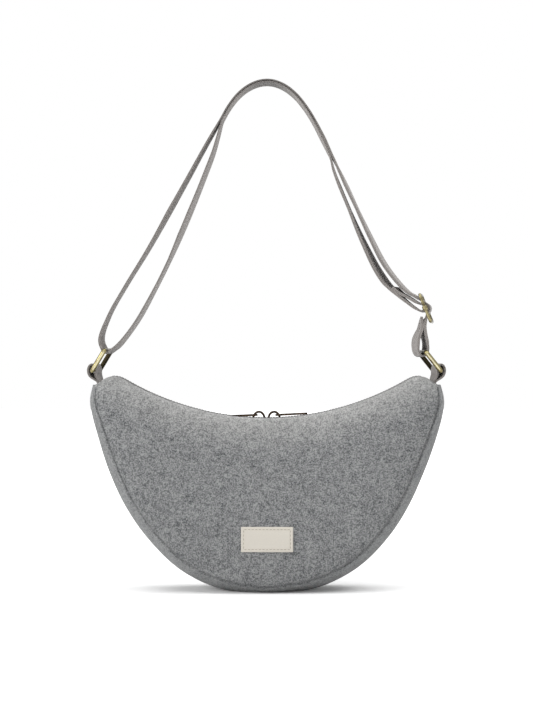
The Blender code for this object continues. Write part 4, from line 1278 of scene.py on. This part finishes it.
def yaw_at(side, height, inner=False):
    """The webbing's turn about the upright, in radians: steady over each ring and the adjuster."""
    ring_low = RING_AXIS_HEIGHT - RING_WIRE
    ring_top = ring_upper(side)[1] + RING_WIRE
    turn = RING_YAW * ease((height - (ring_low - YAW_LOWER_RUN)) / YAW_LOWER_RUN)
    if side < 0:
        table = np.array(LEFT_INNER_YAW if inner else LEFT_OUTER_YAW)
        free = np.interp(height - ring_top, table[:, 0], table[:, 1])
        return -np.radians(np.where(height < ring_top, turn, free))
    free_from = ADJUSTER_HEIGHT + ADJUSTER_PITCH + ADJUSTER_WIRE
    held = 1 - ease((height - free_from) / YAW_FREE_RUN)
    return np.radians(mix(turn, -ADJUSTER_YAW, ease((height - ring_top) / YAW_RIGHT_RUN)) * held)


def turned(points, inner=False):
    """Points of the strap turned about the upright line through their ring's middle."""
    points = np.array(points, float)
    inner = np.broadcast_to(inner, points.shape[:-1])
    for side in (-1, 1):
        here = points[..., 0] * side > 0
        axis = (ring_upper(side)[0] + side * RING_AXIS_REACH) / 2
        x, y, height = points[here][:, 0] - axis, points[here][:, 1], points[here][:, 2]
        turn = np.where(inner[here], yaw_at(side, height, True), yaw_at(side, height))
        cos, sin = np.cos(turn), np.sin(turn)
        points[here] = np.stack([axis + x * cos - y * sin, x * sin + y * cos, height], axis=-1)
    return points


print("left ring's upper wire:", ring_upper(-1).round(4), "right:", ring_upper(1).round(4))

# %% [markdown]
# The route is a list of points in order, with true arcs where the webbing goes round a wire. Each
# pair below is a share of the reach to the ring and a share of the strap's rise, or, near a ring and
# the adjuster, a share of their own sizes.

# %% Strap route
ARCH_SHARES = (
    (-0.259, 0.869), (-0.220, 0.910), (-0.165, 0.952), (-0.103, 0.981), (-0.035, 0.997), (0.032, 0.998),
    (0.102, 0.983), (0.170, 0.952), (0.228, 0.910), (0.272, 0.869), (0.327, 0.807), (0.377, 0.745),
)
OUTER_LEFT_SHARES = (
    (-0.918, 0.191), (-0.820, 0.295), (-0.691, 0.419), (-0.570, 0.544), (-0.454, 0.668), (-0.346, 0.786),
)
INNER_LEFT_SHARES = (
    (-0.273, 0.827), (-0.308, 0.752), (-0.361, 0.668), (-0.444, 0.544), (-0.537, 0.419), (-0.639, 0.295),
    (-0.756, 0.170),
)
OUTER_RIGHT_SHARES = (
    (0.435, 0.682), (0.511, 0.585), (0.610, 0.461), (0.683, 0.378), (0.759, 0.316), (0.827, 0.274),
    (0.865, 0.261),
)
INNER_RIGHT_SHARES = (
    (0.905, 0.208), (0.869, 0.219), (0.822, 0.240), (0.779, 0.261), (0.740, 0.282), (0.704, 0.304),
    (0.675, 0.328), (0.639, 0.363), (0.591, 0.418), (0.552, 0.466), (0.487, 0.556), (0.396, 0.690),
)
TAIL_SHARES = ((0.752, 0.289), (0.770, 0.279), (0.790, 0.269), (0.828, 0.257), (0.878, 0.239), (0.908, 0.232))
LEFT_IN_SHARES = ((3.53, 1.42), (1.66, 0.00))
LEFT_OUT_SHARES = ((-2.28, 3.40),)
ADJUSTER_IN_SHARES = ((0.827, -0.169), (0.557, 0.026))
ADJUSTER_OUT_SHARES = ((-0.474, -0.072), (-0.756, -0.363))
DROP_DOWN_SHARES = ((0.065, 1.113), (0.048, 0.94), (0.077, 0.677), (0.129, 0.42), (0.137, 0.15))
DROP_UP_SHARES = (
    (-0.020, -0.155), (-0.140, -0.155), (-0.245, -0.02), (-0.275, 0.24), (-0.245, 0.52), (-0.165, 0.738),
    (-0.073, 0.94), (-0.048, 1.12), (-0.020, 1.415),
)
print("points by hand over the arch:", len(ARCH_SHARES), "and in the drop loop:", len(DROP_UP_SHARES))

# %% [markdown]
# Over the arch the two strands lie on each other, so both are the same line, moved half a stack to
# either side. Drawing each by hand would leave gaps where there are none.

# %% Strap line
def strap_points(shares):
    return np.array(shares) * (RING_AXIS_REACH, STRAP_RISE) + (0, RING_AXIS_HEIGHT)


def round_points(centre, radius, start, end, steps):
    angle = np.radians(np.linspace(start, end, steps + 1))
    return np.asarray(centre) + radius * np.stack([np.cos(angle), np.sin(angle)], axis=-1)


def side_of(line, distance):
    """The line moved sideways."""
    last = len(line) - 1
    index = np.arange(len(line))
    along = line[np.minimum(index + 1, last)] - line[np.maximum(index - 1, 0)]
    along /= np.linalg.norm(along, axis=1, keepdims=True)
    return line + distance * np.stack([-along[:, 1], along[:, 0]], axis=-1)


def adjuster_points(shares):
    lean = math.radians(ADJUSTER_LEAN)
    up_axis = ADJUSTER_PITCH * np.array([-math.sin(lean), math.cos(lean)])
    right_axis = ADJUSTER_PITCH * np.array([math.cos(lean), math.sin(lean)])
    centre = (ADJUSTER_REACH, ADJUSTER_HEIGHT)
    return np.array([centre + up_axis * up + right_axis * right for up, right in shares])


def strap_line():
    """Sewn fold, inner strand, left ring, outer strand, adjuster, right ring."""
    centre = (ADJUSTER_REACH, ADJUSTER_HEIGHT)
    arch = smooth_line(strap_points(ARCH_SHARES), 4)
    stack = (WEB + STACK_GAP) / 2
    left = ring_upper(-1)
    bar = ring_upper(1)
    return smooth_line(np.concatenate([
        strap_points(TAIL_SHARES),
        round_points(centre, FOLD_RADIUS, 60, -100, 6),
        strap_points(INNER_RIGHT_SHARES),
        side_of(arch, -stack)[::-1],
        strap_points(INNER_LEFT_SHARES),
        left + TURN_RADIUS * np.array(LEFT_IN_SHARES),
        round_points(left, TURN_RADIUS, -60, -168, 5),
        left + TURN_RADIUS * np.array(LEFT_OUT_SHARES),
        strap_points(OUTER_LEFT_SHARES),
        side_of(arch, stack),
        strap_points(OUTER_RIGHT_SHARES),
        adjuster_points(ADJUSTER_IN_SHARES),
        round_points(centre, OVER_FOLD_RADIUS, ADJUSTER_LEAN + 55, ADJUSTER_LEAN - 50, 5),
        adjuster_points(ADJUSTER_OUT_SHARES),
        bar + RING_PITCH * np.array(DROP_DOWN_SHARES),
        round_points(bar, TURN_RADIUS, -20, -65, 2),
        bar + RING_PITCH * np.array(DROP_UP_SHARES),
    ]), 12)


STRAP = strap_line()
print("strap:", round(lengths_along(STRAP)[-1], 4), "m")

# %% [markdown]
# The webbing's section is two layers with rounded edges. It is swept along the line in even steps,
# a little thicker where nothing presses it, so that it looks like cloth and not like a steel band.

# %% Webbing section
WEB_LOOK = 0.0019
WEB_LOFT = 0.0010
LOFT_TOP = 0.435
ARCH_PRESS = 0.0005
ARCH_FROM = 0.450
PRESS_RUN = 0.020
METAL_RUN = 0.0065
ADJUSTER_NEAR = 0.0055
RING_NEAR = 0.0045
RIGHT_SIDE_FROM = 0.02
SECTION_QUARTER = ((-0.00060, 0.0), (-0.00012, 0.30), (0.0, 0.60), (-0.00028, 0.88), (-0.00085, 1.0))
SECTION_FLAT = (0.85, 0.45, 0.0, -0.45, -0.85)


def web_section():
    """The webbing's section: across its width, and the share of its half thickness, once round."""
    half = WEB_WIDTH / 2
    right = [(half + x, z) for x, z in SECTION_QUARTER]
    top = right + [(half * share, 1.0) for share in SECTION_FLAT] + [(-x, z) for x, z in right[::-1]]
    return np.array(top + [(x, -z) for x, z in top[-2:0:-1]])


def loft(line):
    """Thickness along the line: puffed up on the right, except where metal or the arch presses it."""
    free = ease((LOFT_TOP - line[:, 1]) / PRESS_RUN) * ease(line[:, 0] / RIGHT_SIDE_FROM)
    for centre, near in (((ADJUSTER_REACH, ADJUSTER_HEIGHT), ADJUSTER_NEAR), (ring_upper(1), RING_NEAR)):
        free = free * ease((np.linalg.norm(line - centre, axis=1) - near) / METAL_RUN)
    return WEB_LOOK + WEB_LOFT * free - ARCH_PRESS * ease((line[:, 1] - ARCH_FROM) / PRESS_RUN)


print("points round the section:", len(web_section()))

# %% [markdown]
# The right side also twists about its own line, because the adjuster turns it more than the ring
# does. The two tables give height over the right ring, and degrees, for the outer and inner strand.

# %% Webbing twist
DROP_LEG_TURN = 3.0
DROP_LEG_REACH = 0.1555
DROP_LEG_EDGE = 0.003
DROP_LEG_START = 0.004
DROP_LEG_TOP = 0.026
DROP_LEG_FADE = 0.008
RIGHT_OUTER_TWIST = (
    (0.0, 6.5), (0.003, 7.0), (0.0115, 6.5), (0.0195, 3.9), (0.026, 0.0), (0.034, -8.0), (0.045, -8.0),
    (0.052, -11.0), (0.058, -12.4), (0.082, -12.5), (0.098, -11.1), (0.112, -10.2), (0.138, -7.1),
    (0.162, -8.5), (0.178, -6.0), (0.188, -3.0), (0.206, 0.0),
)
RIGHT_INNER_TWIST = (
    (0.0, 6.5), (0.034, -8.0), (0.042, -8.0), (0.046, -9.5), (0.052, -12.0), (0.058, -15.5),
    (0.065, -18.3), (0.072, -18.4), (0.082, -16.5), (0.098, -13.6), (0.112, -11.1), (0.138, -6.2),
    (0.162, -6.0), (0.188, -3.0), (0.206, 0.0),
)


def free_twist(line, inner):
    """The right side's further twist about its own line, in radians."""
    above = line[:, 1] - ring_upper(1)[1] - RING_WIRE
    outer_table, inner_table = np.array(RIGHT_OUTER_TWIST), np.array(RIGHT_INNER_TWIST)
    outer_twist = np.interp(above, outer_table[:, 0], outer_table[:, 1])
    inner_twist = np.interp(above, inner_table[:, 0], inner_table[:, 1])
    on_drop_leg = ease((line[:, 0] - DROP_LEG_REACH) / DROP_LEG_EDGE)
    drop_leg = on_drop_leg * ease(above / DROP_LEG_START) * ease((DROP_LEG_TOP - above) / DROP_LEG_FADE)
    wanted = np.where(inner, inner_twist, outer_twist) - DROP_LEG_TURN * drop_leg
    more = np.radians(wanted) - yaw_at(1, line[:, 1])
    return np.where((above > 0) & (line[:, 0] > RIGHT_SIDE_FROM), more, 0.0)


print("most twist:", round(math.degrees(np.abs(free_twist(STRAP, True)).max()), 1), "degrees")

# %% [markdown]
# The section is now set square to the line at every step, twisted, and turned with its ring. The
# strap's own flat map is its length and its width in metres, so the weave runs true round each bend.

# %% Webbing
WEB_STEP = 0.0022


def webbing(name, line, replaces, inner_to=0.0):
    """Webbing along a line. The strap gives the length to which it is the inner strand."""
    length = lengths_along(line)[-1]
    steps = int(length / WEB_STEP)
    run = np.linspace(0, length, steps + 1)
    even = at_length(line, run)
    along = np.gradient(even, axis=0)
    along /= np.linalg.norm(along, axis=1, keepdims=True)
    section = web_section()
    is_inner = run < inner_to
    half = (loft(even) if inner_to > 0 else np.full(steps + 1, WEB_LOOK))[:, None] / 2
    twist = (free_twist(even, is_inner) if inner_to > 0 else np.zeros(steps + 1))[:, None]
    across = section[None, :, 0]
    x = even[:, None, 0] - along[:, None, 1] * section[None, :, 1] * half - across * np.sin(twist)
    y = across * np.cos(twist)
    z = even[:, None, 1] + along[:, None, 0] * section[None, :, 1] * half
    inner = np.broadcast_to(is_inner[:, None], x.shape)
    obj = outward(swept(name, turned(np.stack([x, y, z], axis=-1), inner)))
    put_map(obj.data, "flat", np.stack([run[:, None] + 0 * x, across + 0 * x], axis=-1))
    return dress(obj, WEBBING_FINISH, None, replaces)


LEFT_TURN_RUN = lengths_along(STRAP)[np.argmin(STRAP[:, 0] + STRAP[:, 1] * 0.5)]
strap = webbing("strap", STRAP, ["strap_web"], LEFT_TURN_RUN)
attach(strap, "strap")
print("inner strand:", round(LEFT_TURN_RUN, 4), "m")

# %% [markdown]
# ### Anchor loops
#
# The short loops are sewn into the bag at one end and carry the ring at the other. Each is swept as
# webbing along its own line.

# %% Anchor loops
SLIT = np.array([0.1665, 0.2075])
ANCHOR_TAIL_DROP = 0.0150
ANCHOR_TOP_ROOM = 0.0071
ANCHOR_BEND_SHARE = 0.7
ANCHOR_LOOP_SHARES = ((-1.00, -0.44), (-1.00, 0.29), (-0.30, 0.93), (0.80, 0.93), (1.59, 0.25), (1.04, -0.66))


def anchor_line(side):
    bar = np.array([RING_AXIS_REACH, RING_AXIS_HEIGHT])
    apart = np.array([(WEB + WEB_GAP) / 2, 0])
    tail = SLIT + (-(bar[0] - SLIT[0]) / 2, -ANCHOR_TAIL_DROP)
    inside = np.array([tail, mix(tail, SLIT, ANCHOR_BEND_SHARE), SLIT])
    loop = bar + np.array(ANCHOR_LOOP_SHARES) * (TURN_RADIUS, ANCHOR_TOP_ROOM)
    line = smooth_line(np.concatenate([inside - apart, loop, inside[::-1] + apart]))
    return line * (side, 1)


def anchor(side, name):
    obj = webbing(f"anchor_{name}", anchor_line(side), [f"anchor_loop_{name}"])
    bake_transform(obj)
    return obj


anchor(-1, "left")
anchor(1, "right")
print("anchor webbing:", round(lengths_along(anchor_line(1))[-1], 4), "m")

# %% [markdown]
# ## Brass
#
# A ring is one length of round wire, bent to a rectangle and closed. A curve with a round bevel would
# draw it, but the wire function also lets the side rails swell a little, as pressing leaves them.

# %% Rings
RING_SIDE_ROOM = 0.0010
RING_CORNER = 0.0030
RAIL_SWELL = 0.0005
RING_HALF_WIDTH = WEB_WIDTH / 2 + RING_SIDE_ROOM + RING_WIRE / 2
CORNER_STEPS = 10


def rounded_rectangle(half_y, low, high, corner):
    """Points of a rounded rectangle in the YZ plane."""
    points = []
    for sign_y, sign_z, start in ((1, 1, 0), (-1, 1, 90), (-1, -1, 180), (1, -1, 270)):
        centre = (sign_y * (half_y - corner), (high if sign_z > 0 else low) - sign_z * corner)
        points.extend(round_points(centre, corner, start, start + 90, CORNER_STEPS))
    return np.insert(np.array(points), 0, 0.0, axis=1)


def leaning(place, lean, yaw):
    """The matrix of a frame that leans about Y and is then turned about the upright."""
    turn = Matrix.Rotation(yaw, 4, "Z") @ Matrix.Rotation(math.radians(lean), 4, "Y")
    return Matrix.Translation(Vector(place)) @ turn


def ring(side, end):
    upper = ring_upper(side)
    outline = rounded_rectangle(RING_HALF_WIDTH, -RING_PITCH, 0.0, RING_CORNER)
    on_rail = ease((np.abs(outline[:, 1]) - RING_HALF_WIDTH + RING_CORNER) / RING_CORNER)
    obj = outward(wire(f"brass_ring_{end}", outline, RING_WIRE / 2 + RAIL_SWELL * on_rail, 18, closed=True))
    place = turned([[upper[0], 0, upper[1]]])[0]
    obj.data.transform(leaning(place, -side * RING_LEAN[side], yaw_at(side, upper[1])))
    dress(obj, BRASS_FINISH, f"ring_{end}", [f"ring_{end}"])


ring(-1, "left")
ring(1, "right")
print("ring, outside:", round((RING_HALF_WIDTH + RING_WIRE / 2) * 2, 4), "m wide")

# %% [markdown]
# The adjuster is a wire rectangle with a thinner bar across its middle. The bar's flattened ends are
# crimped round the side rails, which a turned profile gives: a collar, a shoulder and the bar.

# %% Adjuster
ADJUSTER_SPRING = 0.0008
ADJUSTER_CORNER = 0.0034
COLLAR_LENGTH = 0.0044
COLLAR_RADIUS = 0.0027
ADJUSTER_HALF_WIDTH = WEB_WIDTH / 2 + WEB_GAP + COLLAR_RADIUS
COLLAR_PROFILE = ((-1.0, 0.0016), (-1.0, 0.0022), (-0.82, 0.0026), (-0.3, COLLAR_RADIUS))
BAR_PROFILE = ((0.0, 0.0021), (0.0030, 0.0020), (0.0042, ADJUSTER_BAR / 2))


def lathe(name, half_profile, axis):
    """A turned piece along one axis, the same at both ends: pairs of distance and radius."""
    profile = half_profile + [(-along, radius) for along, radius in reversed(half_profile)]
    path = np.zeros((len(profile), 3))
    path[:, axis] = [along for along, radius in profile]
    return wire(name, path, [radius for along, radius in profile], 20)


def adjuster():
    place = turned([[ADJUSTER_REACH, 0, ADJUSTER_HEIGHT]])[0]
    matrix = leaning(place, -ADJUSTER_LEAN, math.radians(-ADJUSTER_YAW))
    reach = ADJUSTER_PITCH + ADJUSTER_SPRING
    outline = rounded_rectangle(ADJUSTER_HALF_WIDTH, -reach, reach, ADJUSTER_CORNER)
    rails = outward(wire("adjuster_rails", outline, ADJUSTER_WIRE / 2, 16, closed=True))
    rails.data.transform(matrix)
    dress(rails, ADJUSTER_FINISH, "adjuster", ["adjuster_frame"])
    parts = [lathe("bar", [(along - ADJUSTER_HALF_WIDTH, radius) for along, radius in BAR_PROFILE], 1)]
    for sign in (-1, 1):
        collar = [(along * COLLAR_LENGTH / 2, radius) for along, radius in COLLAR_PROFILE]
        parts.append(lathe("collar", collar, 2))
        parts[-1].data.transform(Matrix.Translation((0, sign * ADJUSTER_HALF_WIDTH, 0)))
    middle = outward(joined("adjuster_middle", parts))
    middle.data.transform(matrix)
    dress(middle, ADJUSTER_FINISH, "adjuster", ["adjuster_bar"])


adjuster()
print("adjuster:", round((ADJUSTER_HALF_WIDTH + ADJUSTER_WIRE / 2) * 2, 4), "m wide")

# %% [markdown]
# ## Stitches and the label
#
# Thread is modelled, not painted: each stitch is a short bent length of thread whose two ends go down
# into the cloth. One function lays a row of them along any line on any surface.

# %% Stitch helpers
STITCH_RINGS = 7
STITCH_SIDES = 6
STITCH_FULLNESS = 1.08


def spaced(points, normals, pitch):
    """Stitch places along a line: middles, directions and outward normals."""
    run = lengths_along(points)
    count = max(1, int(round(run[-1] / pitch)))
    middle = (np.arange(count) + 0.5) * run[-1] / count
    place = at_length(points, middle)
    before = at_length(points, np.maximum(0, middle - pitch / 4))
    ahead = at_length(points, np.minimum(run[-1], middle + pitch / 4)) - before
    along = ahead / np.linalg.norm(ahead, axis=1, keepdims=True)
    out = np.stack([np.interp(middle, run, normals[:, axis]) for axis in range(3)], axis=-1)
    out -= along * (out * along).sum(axis=1, keepdims=True)
    return place, along, out / np.linalg.norm(out, axis=1, keepdims=True)


def stitches(name, rows, length, thick, finish, body):
    """One mesh of stitches, each an arched thread with its ends in the cloth."""
    place, along, out = (np.concatenate([row[index] for row in rows]) for index in range(3))
    across = np.cross(along, out)
    step = np.linspace(-1, 1, STITCH_RINGS)
    rise = thick * ((1 - step**4) - 0.5)
    size = thick / 2 * np.sqrt(np.clip(STITCH_FULLNESS - step**4, 0.0, 1.0))
    angle = np.linspace(0, 2 * math.pi, STITCH_SIDES, endpoint=False)
    centre = place[:, None] + along[:, None] * (step * length / 2)[None, :, None]
    centre = centre + out[:, None] * rise[None, :, None]
    up_part = np.cos(angle)[None, None, :, None] * out[:, None, None]
    side_part = np.sin(angle)[None, None, :, None] * across[:, None, None]
    points = centre[:, :, None] + (up_part + side_part) * size[None, :, None, None]
    faces = []
    for base in range(0, len(place) * STITCH_RINGS * STITCH_SIDES, STITCH_RINGS * STITCH_SIDES):
        faces += ring_faces(base, STITCH_RINGS, STITCH_SIDES)
    dress(outward(mesh_object(name, points, faces)), finish, body)
    print(name + ":", len(place), "stitches")


# %% [markdown]
# The label is a bare patch of coated cotton. It follows the felt behind it, which a ray cast at the
# finished panel measures, and it puffs up a little between its stitches and its edge.

# %% Label
LABEL_WIDTH = 0.0510
LABEL_HEIGHT = 0.0247
LABEL_X = 0.0006
LABEL_Z = 0.0540
LABEL_GAP = 0.0002
LABEL_THICK = 0.0012
LABEL_CORNER = 0.0009
LABEL_SEWN_IN = 0.0026
LABEL_SEAM_WIDTH = 0.0007
LABEL_SUNK = 0.00035
LABEL_EDGE_SHARE = 0.45
LABEL_COLUMNS = 118
LABEL_ROWS = 58
RAY_FROM = -0.2


def on_felt(tree, x, z):
    """The point of the front panel at a place in the front view, and its normal."""
    hit, normal, index, distance = tree.ray_cast(Vector((x, RAY_FROM, z)), Vector((0, 1, 0)))
    return hit, normal if normal.y < 0 else -normal


def label_profile(x, z):
    """The label's height over the felt: sunk along the stitches, rounded at the edge."""
    from_edge = np.minimum(LABEL_WIDTH / 2 - abs(x), LABEL_HEIGHT / 2 - abs(z))
    rounded = math.sqrt(max(0.0, 1 - (1 - min(1.0, from_edge / LABEL_THICK)) ** 2))
    sewn = math.exp(-(((from_edge - LABEL_SEWN_IN) / LABEL_SEAM_WIDTH) ** 2))
    return LABEL_GAP + LABEL_THICK * mix(LABEL_EDGE_SHARE, 1.0, rounded) - LABEL_SUNK * sewn


def round_corner(x, z):
    """A point of the label, drawn in where it lies in the square of a corner."""
    inset_x = LABEL_WIDTH / 2 - LABEL_CORNER - abs(x)
    inset_z = LABEL_HEIGHT / 2 - LABEL_CORNER - abs(z)
    if inset_x >= 0 or inset_z >= 0:
        return x, z
    share = 1 - max(-inset_x, -inset_z) / math.hypot(inset_x, inset_z)
    return math.copysign(abs(x) + inset_x * share, x), math.copysign(abs(z) + inset_z * share, z)


def label(tree):
    columns = np.linspace(-LABEL_WIDTH / 2, LABEL_WIDTH / 2, LABEL_COLUMNS + 1)
    rows = np.linspace(LABEL_HEIGHT / 2, -LABEL_HEIGHT / 2, LABEL_ROWS + 1)
    points = np.zeros((len(rows), len(columns), 3))
    for row, z in enumerate(rows):
        for column, x in enumerate(columns):
            place_x, place_z = round_corner(x, z)
            hit, normal = on_felt(tree, LABEL_X + place_x, LABEL_Z + place_z)
            points[row, column] = hit + normal * label_profile(x, z)
    thickness = LABEL_THICK * LABEL_EDGE_SHARE
    cloth("label_patch_cotton", points, LABEL_FINISH, thickness, ["label_patch"], flip=True)


PANEL_TREE = BVHTree.FromObject(FELT_FRONT, bpy.context.evaluated_depsgraph_get())
label(PANEL_TREE)
print("label:", LABEL_WIDTH, "by", LABEL_HEIGHT, "m")

# %% [markdown]
# One row of pale brown thread runs round the label, a little inside its edge. The stitches lie in
# the furrow that the label's height already has there, as a sewn patch is drawn down by its thread.

# %% Label stitches
LABEL_STITCH_PITCH = 0.0036
LABEL_STITCH = 0.0024
LABEL_THREAD_THICK = 0.00042
LABEL_SIDE_STEPS = 24
THREAD_PROUD = 0.00002


def label_stitches(tree):
    half_x = LABEL_WIDTH / 2 - LABEL_SEWN_IN
    half_z = LABEL_HEIGHT / 2 - LABEL_SEWN_IN
    corners = [(-half_x, half_z), (half_x, half_z), (half_x, -half_z), (-half_x, -half_z), (-half_x, half_z)]
    rows = []
    for (x0, z0), (x1, z1) in zip(corners, corners[1:]):
        points = []
        normals = []
        for share in np.linspace(0, 1, LABEL_SIDE_STEPS):
            x, z = mix(x0, x1, share), mix(z0, z1, share)
            hit, normal = on_felt(tree, LABEL_X + x, LABEL_Z + z)
            points.append(hit + normal * (label_profile(x, z) + THREAD_PROUD))
            normals.append(normal)
        rows.append(spaced(np.array(points), np.array(normals), LABEL_STITCH_PITCH))
    stitches("label_stitches", rows, LABEL_STITCH, LABEL_THREAD_THICK, LABEL_THREAD, "bag")


label_stitches(PANEL_TREE)

# %% [markdown]
# Two places hold the strap's ends: the tail folded round the adjuster's bar, and the top of the drop
# loop. Each gets a box of taupe stitches, two rows across the webbing and two along its edges.

# %% Webbing stitches
WEB_STITCH_PITCH = 0.0027
WEB_STITCH = 0.0021
WEB_STITCH_IN = 0.0020
WEB_THREAD_THICK = 0.00050
EDGE_SEAMS = WEB_WIDTH / 2 - WEB_STITCH_IN
EDGE_INSET = 0.001
BOX_NEAR = 0.0020
BOX_FAR = 0.0120
LOOK_STEPS = (-0.0005, 0.0, 0.0005)
ROW_POINTS = 16
EDGE_POINTS = 12
LIFT = 0.001


def web_row(place, along, y):
    """A row of stitches on the webbing's outer face, at points of its line and places across it."""
    along = along / np.linalg.norm(along, axis=1, keepdims=True)
    out = np.stack([-along[:, 1], along[:, 0]], axis=-1)
    at = place + out * WEB / 2
    lifted = at + out * LIFT
    points = turned(np.stack([at[:, 0], y, at[:, 1]], axis=-1))
    normals = (turned(np.stack([lifted[:, 0], y, lifted[:, 1]], axis=-1)) - points) / LIFT
    return spaced(points, normals, WEB_STITCH_PITCH)


def stitch_box(line, near, far):
    """Two rows across the webbing and two along its edges, between two lengths of its line."""
    rows = []
    for run in (near, far):
        before, place, after = (at_length(line, np.full(ROW_POINTS, run + step)) for step in LOOK_STEPS)
        rows.append(web_row(place, after - before, np.linspace(-EDGE_SEAMS, EDGE_SEAMS, ROW_POINTS)))
    low, high = min(near, far), max(near, far)
    path = at_length(line, np.linspace(low + EDGE_INSET, high - EDGE_INSET, EDGE_POINTS))
    for y in (-EDGE_SEAMS, EDGE_SEAMS):
        rows.append(web_row(path, np.gradient(path, axis=0), np.full(EDGE_POINTS, y)))
    return rows


strap_end = lengths_along(STRAP)[-1]
strap_rows = stitch_box(STRAP, BOX_NEAR, BOX_FAR)
strap_rows += stitch_box(STRAP, strap_end - BOX_NEAR, strap_end - BOX_FAR)
stitches("strap_stitches", strap_rows, WEB_STITCH, WEB_THREAD_THICK, TAUPE_THREAD, "strap")

# %% [markdown]
# Each lip of the zip opening has one row of stitches in grey thread. It holds the tape underneath.

# %% Lip stitches
LIP_STITCH_IN = 0.0030
LIP_STITCH_PITCH = 0.0030
LIP_STITCH = 0.0023
LIP_THREAD_THICK = 0.00045
LIP_ROW_SHARE = 0.955
LIP_ROW_STEPS = 260


def lip_stitches(end, side):
    x = np.linspace(-LIP_ROW_SHARE, LIP_ROW_SHARE, LIP_ROW_STEPS) * TIP_REACH
    y = side * (slot_half_width(x) + LIP_STITCH_IN)
    points = above_top(x, y, 0.0)
    normals = (above_top(x, y, LIFT) - points) / LIFT
    rows = [spaced(points, normals, LIP_STITCH_PITCH)]
    stitches(f"lip_stitches_{end}", rows, LIP_STITCH, LIP_THREAD_THICK, GREY_THREAD, "bag")


lip_stitches("front", -1)
lip_stitches("back", 1)

# %% [markdown]
# ## Zip metal
#
# The sliders, their pulls and the end stops are hard pieces, and the frame already holds them at the
# right size, so they keep their CAD meshes and only get a finish. A thin plating is added over the
# sliders and pulls. The CAD mesh has split corners, which a displacement would pull apart, so a weld
# closes them first.

# %% Zip metal from the frame
PLATING = {"zip_slider": 0.00035, "zip_pull": 0.00050, "zip_stop": 0.0}
WELD_REACH = 0.00002

for kind, plate in PLATING.items():
    for end in ("left", "right"):
        metal = NODES[f"{kind}_{end}"]
        metal.data.materials.clear()
        metal.data.materials.append(BRONZE_FINISH)
        if plate:
            metal.modifiers.new("weld", "WELD").merge_threshold = WELD_REACH
            plating = metal.modifiers.new("plating", "DISPLACE")
            plating.mid_level = 0.0
            plating.strength = plate
print("plated:", [kind for kind, plate in PLATING.items() if plate])
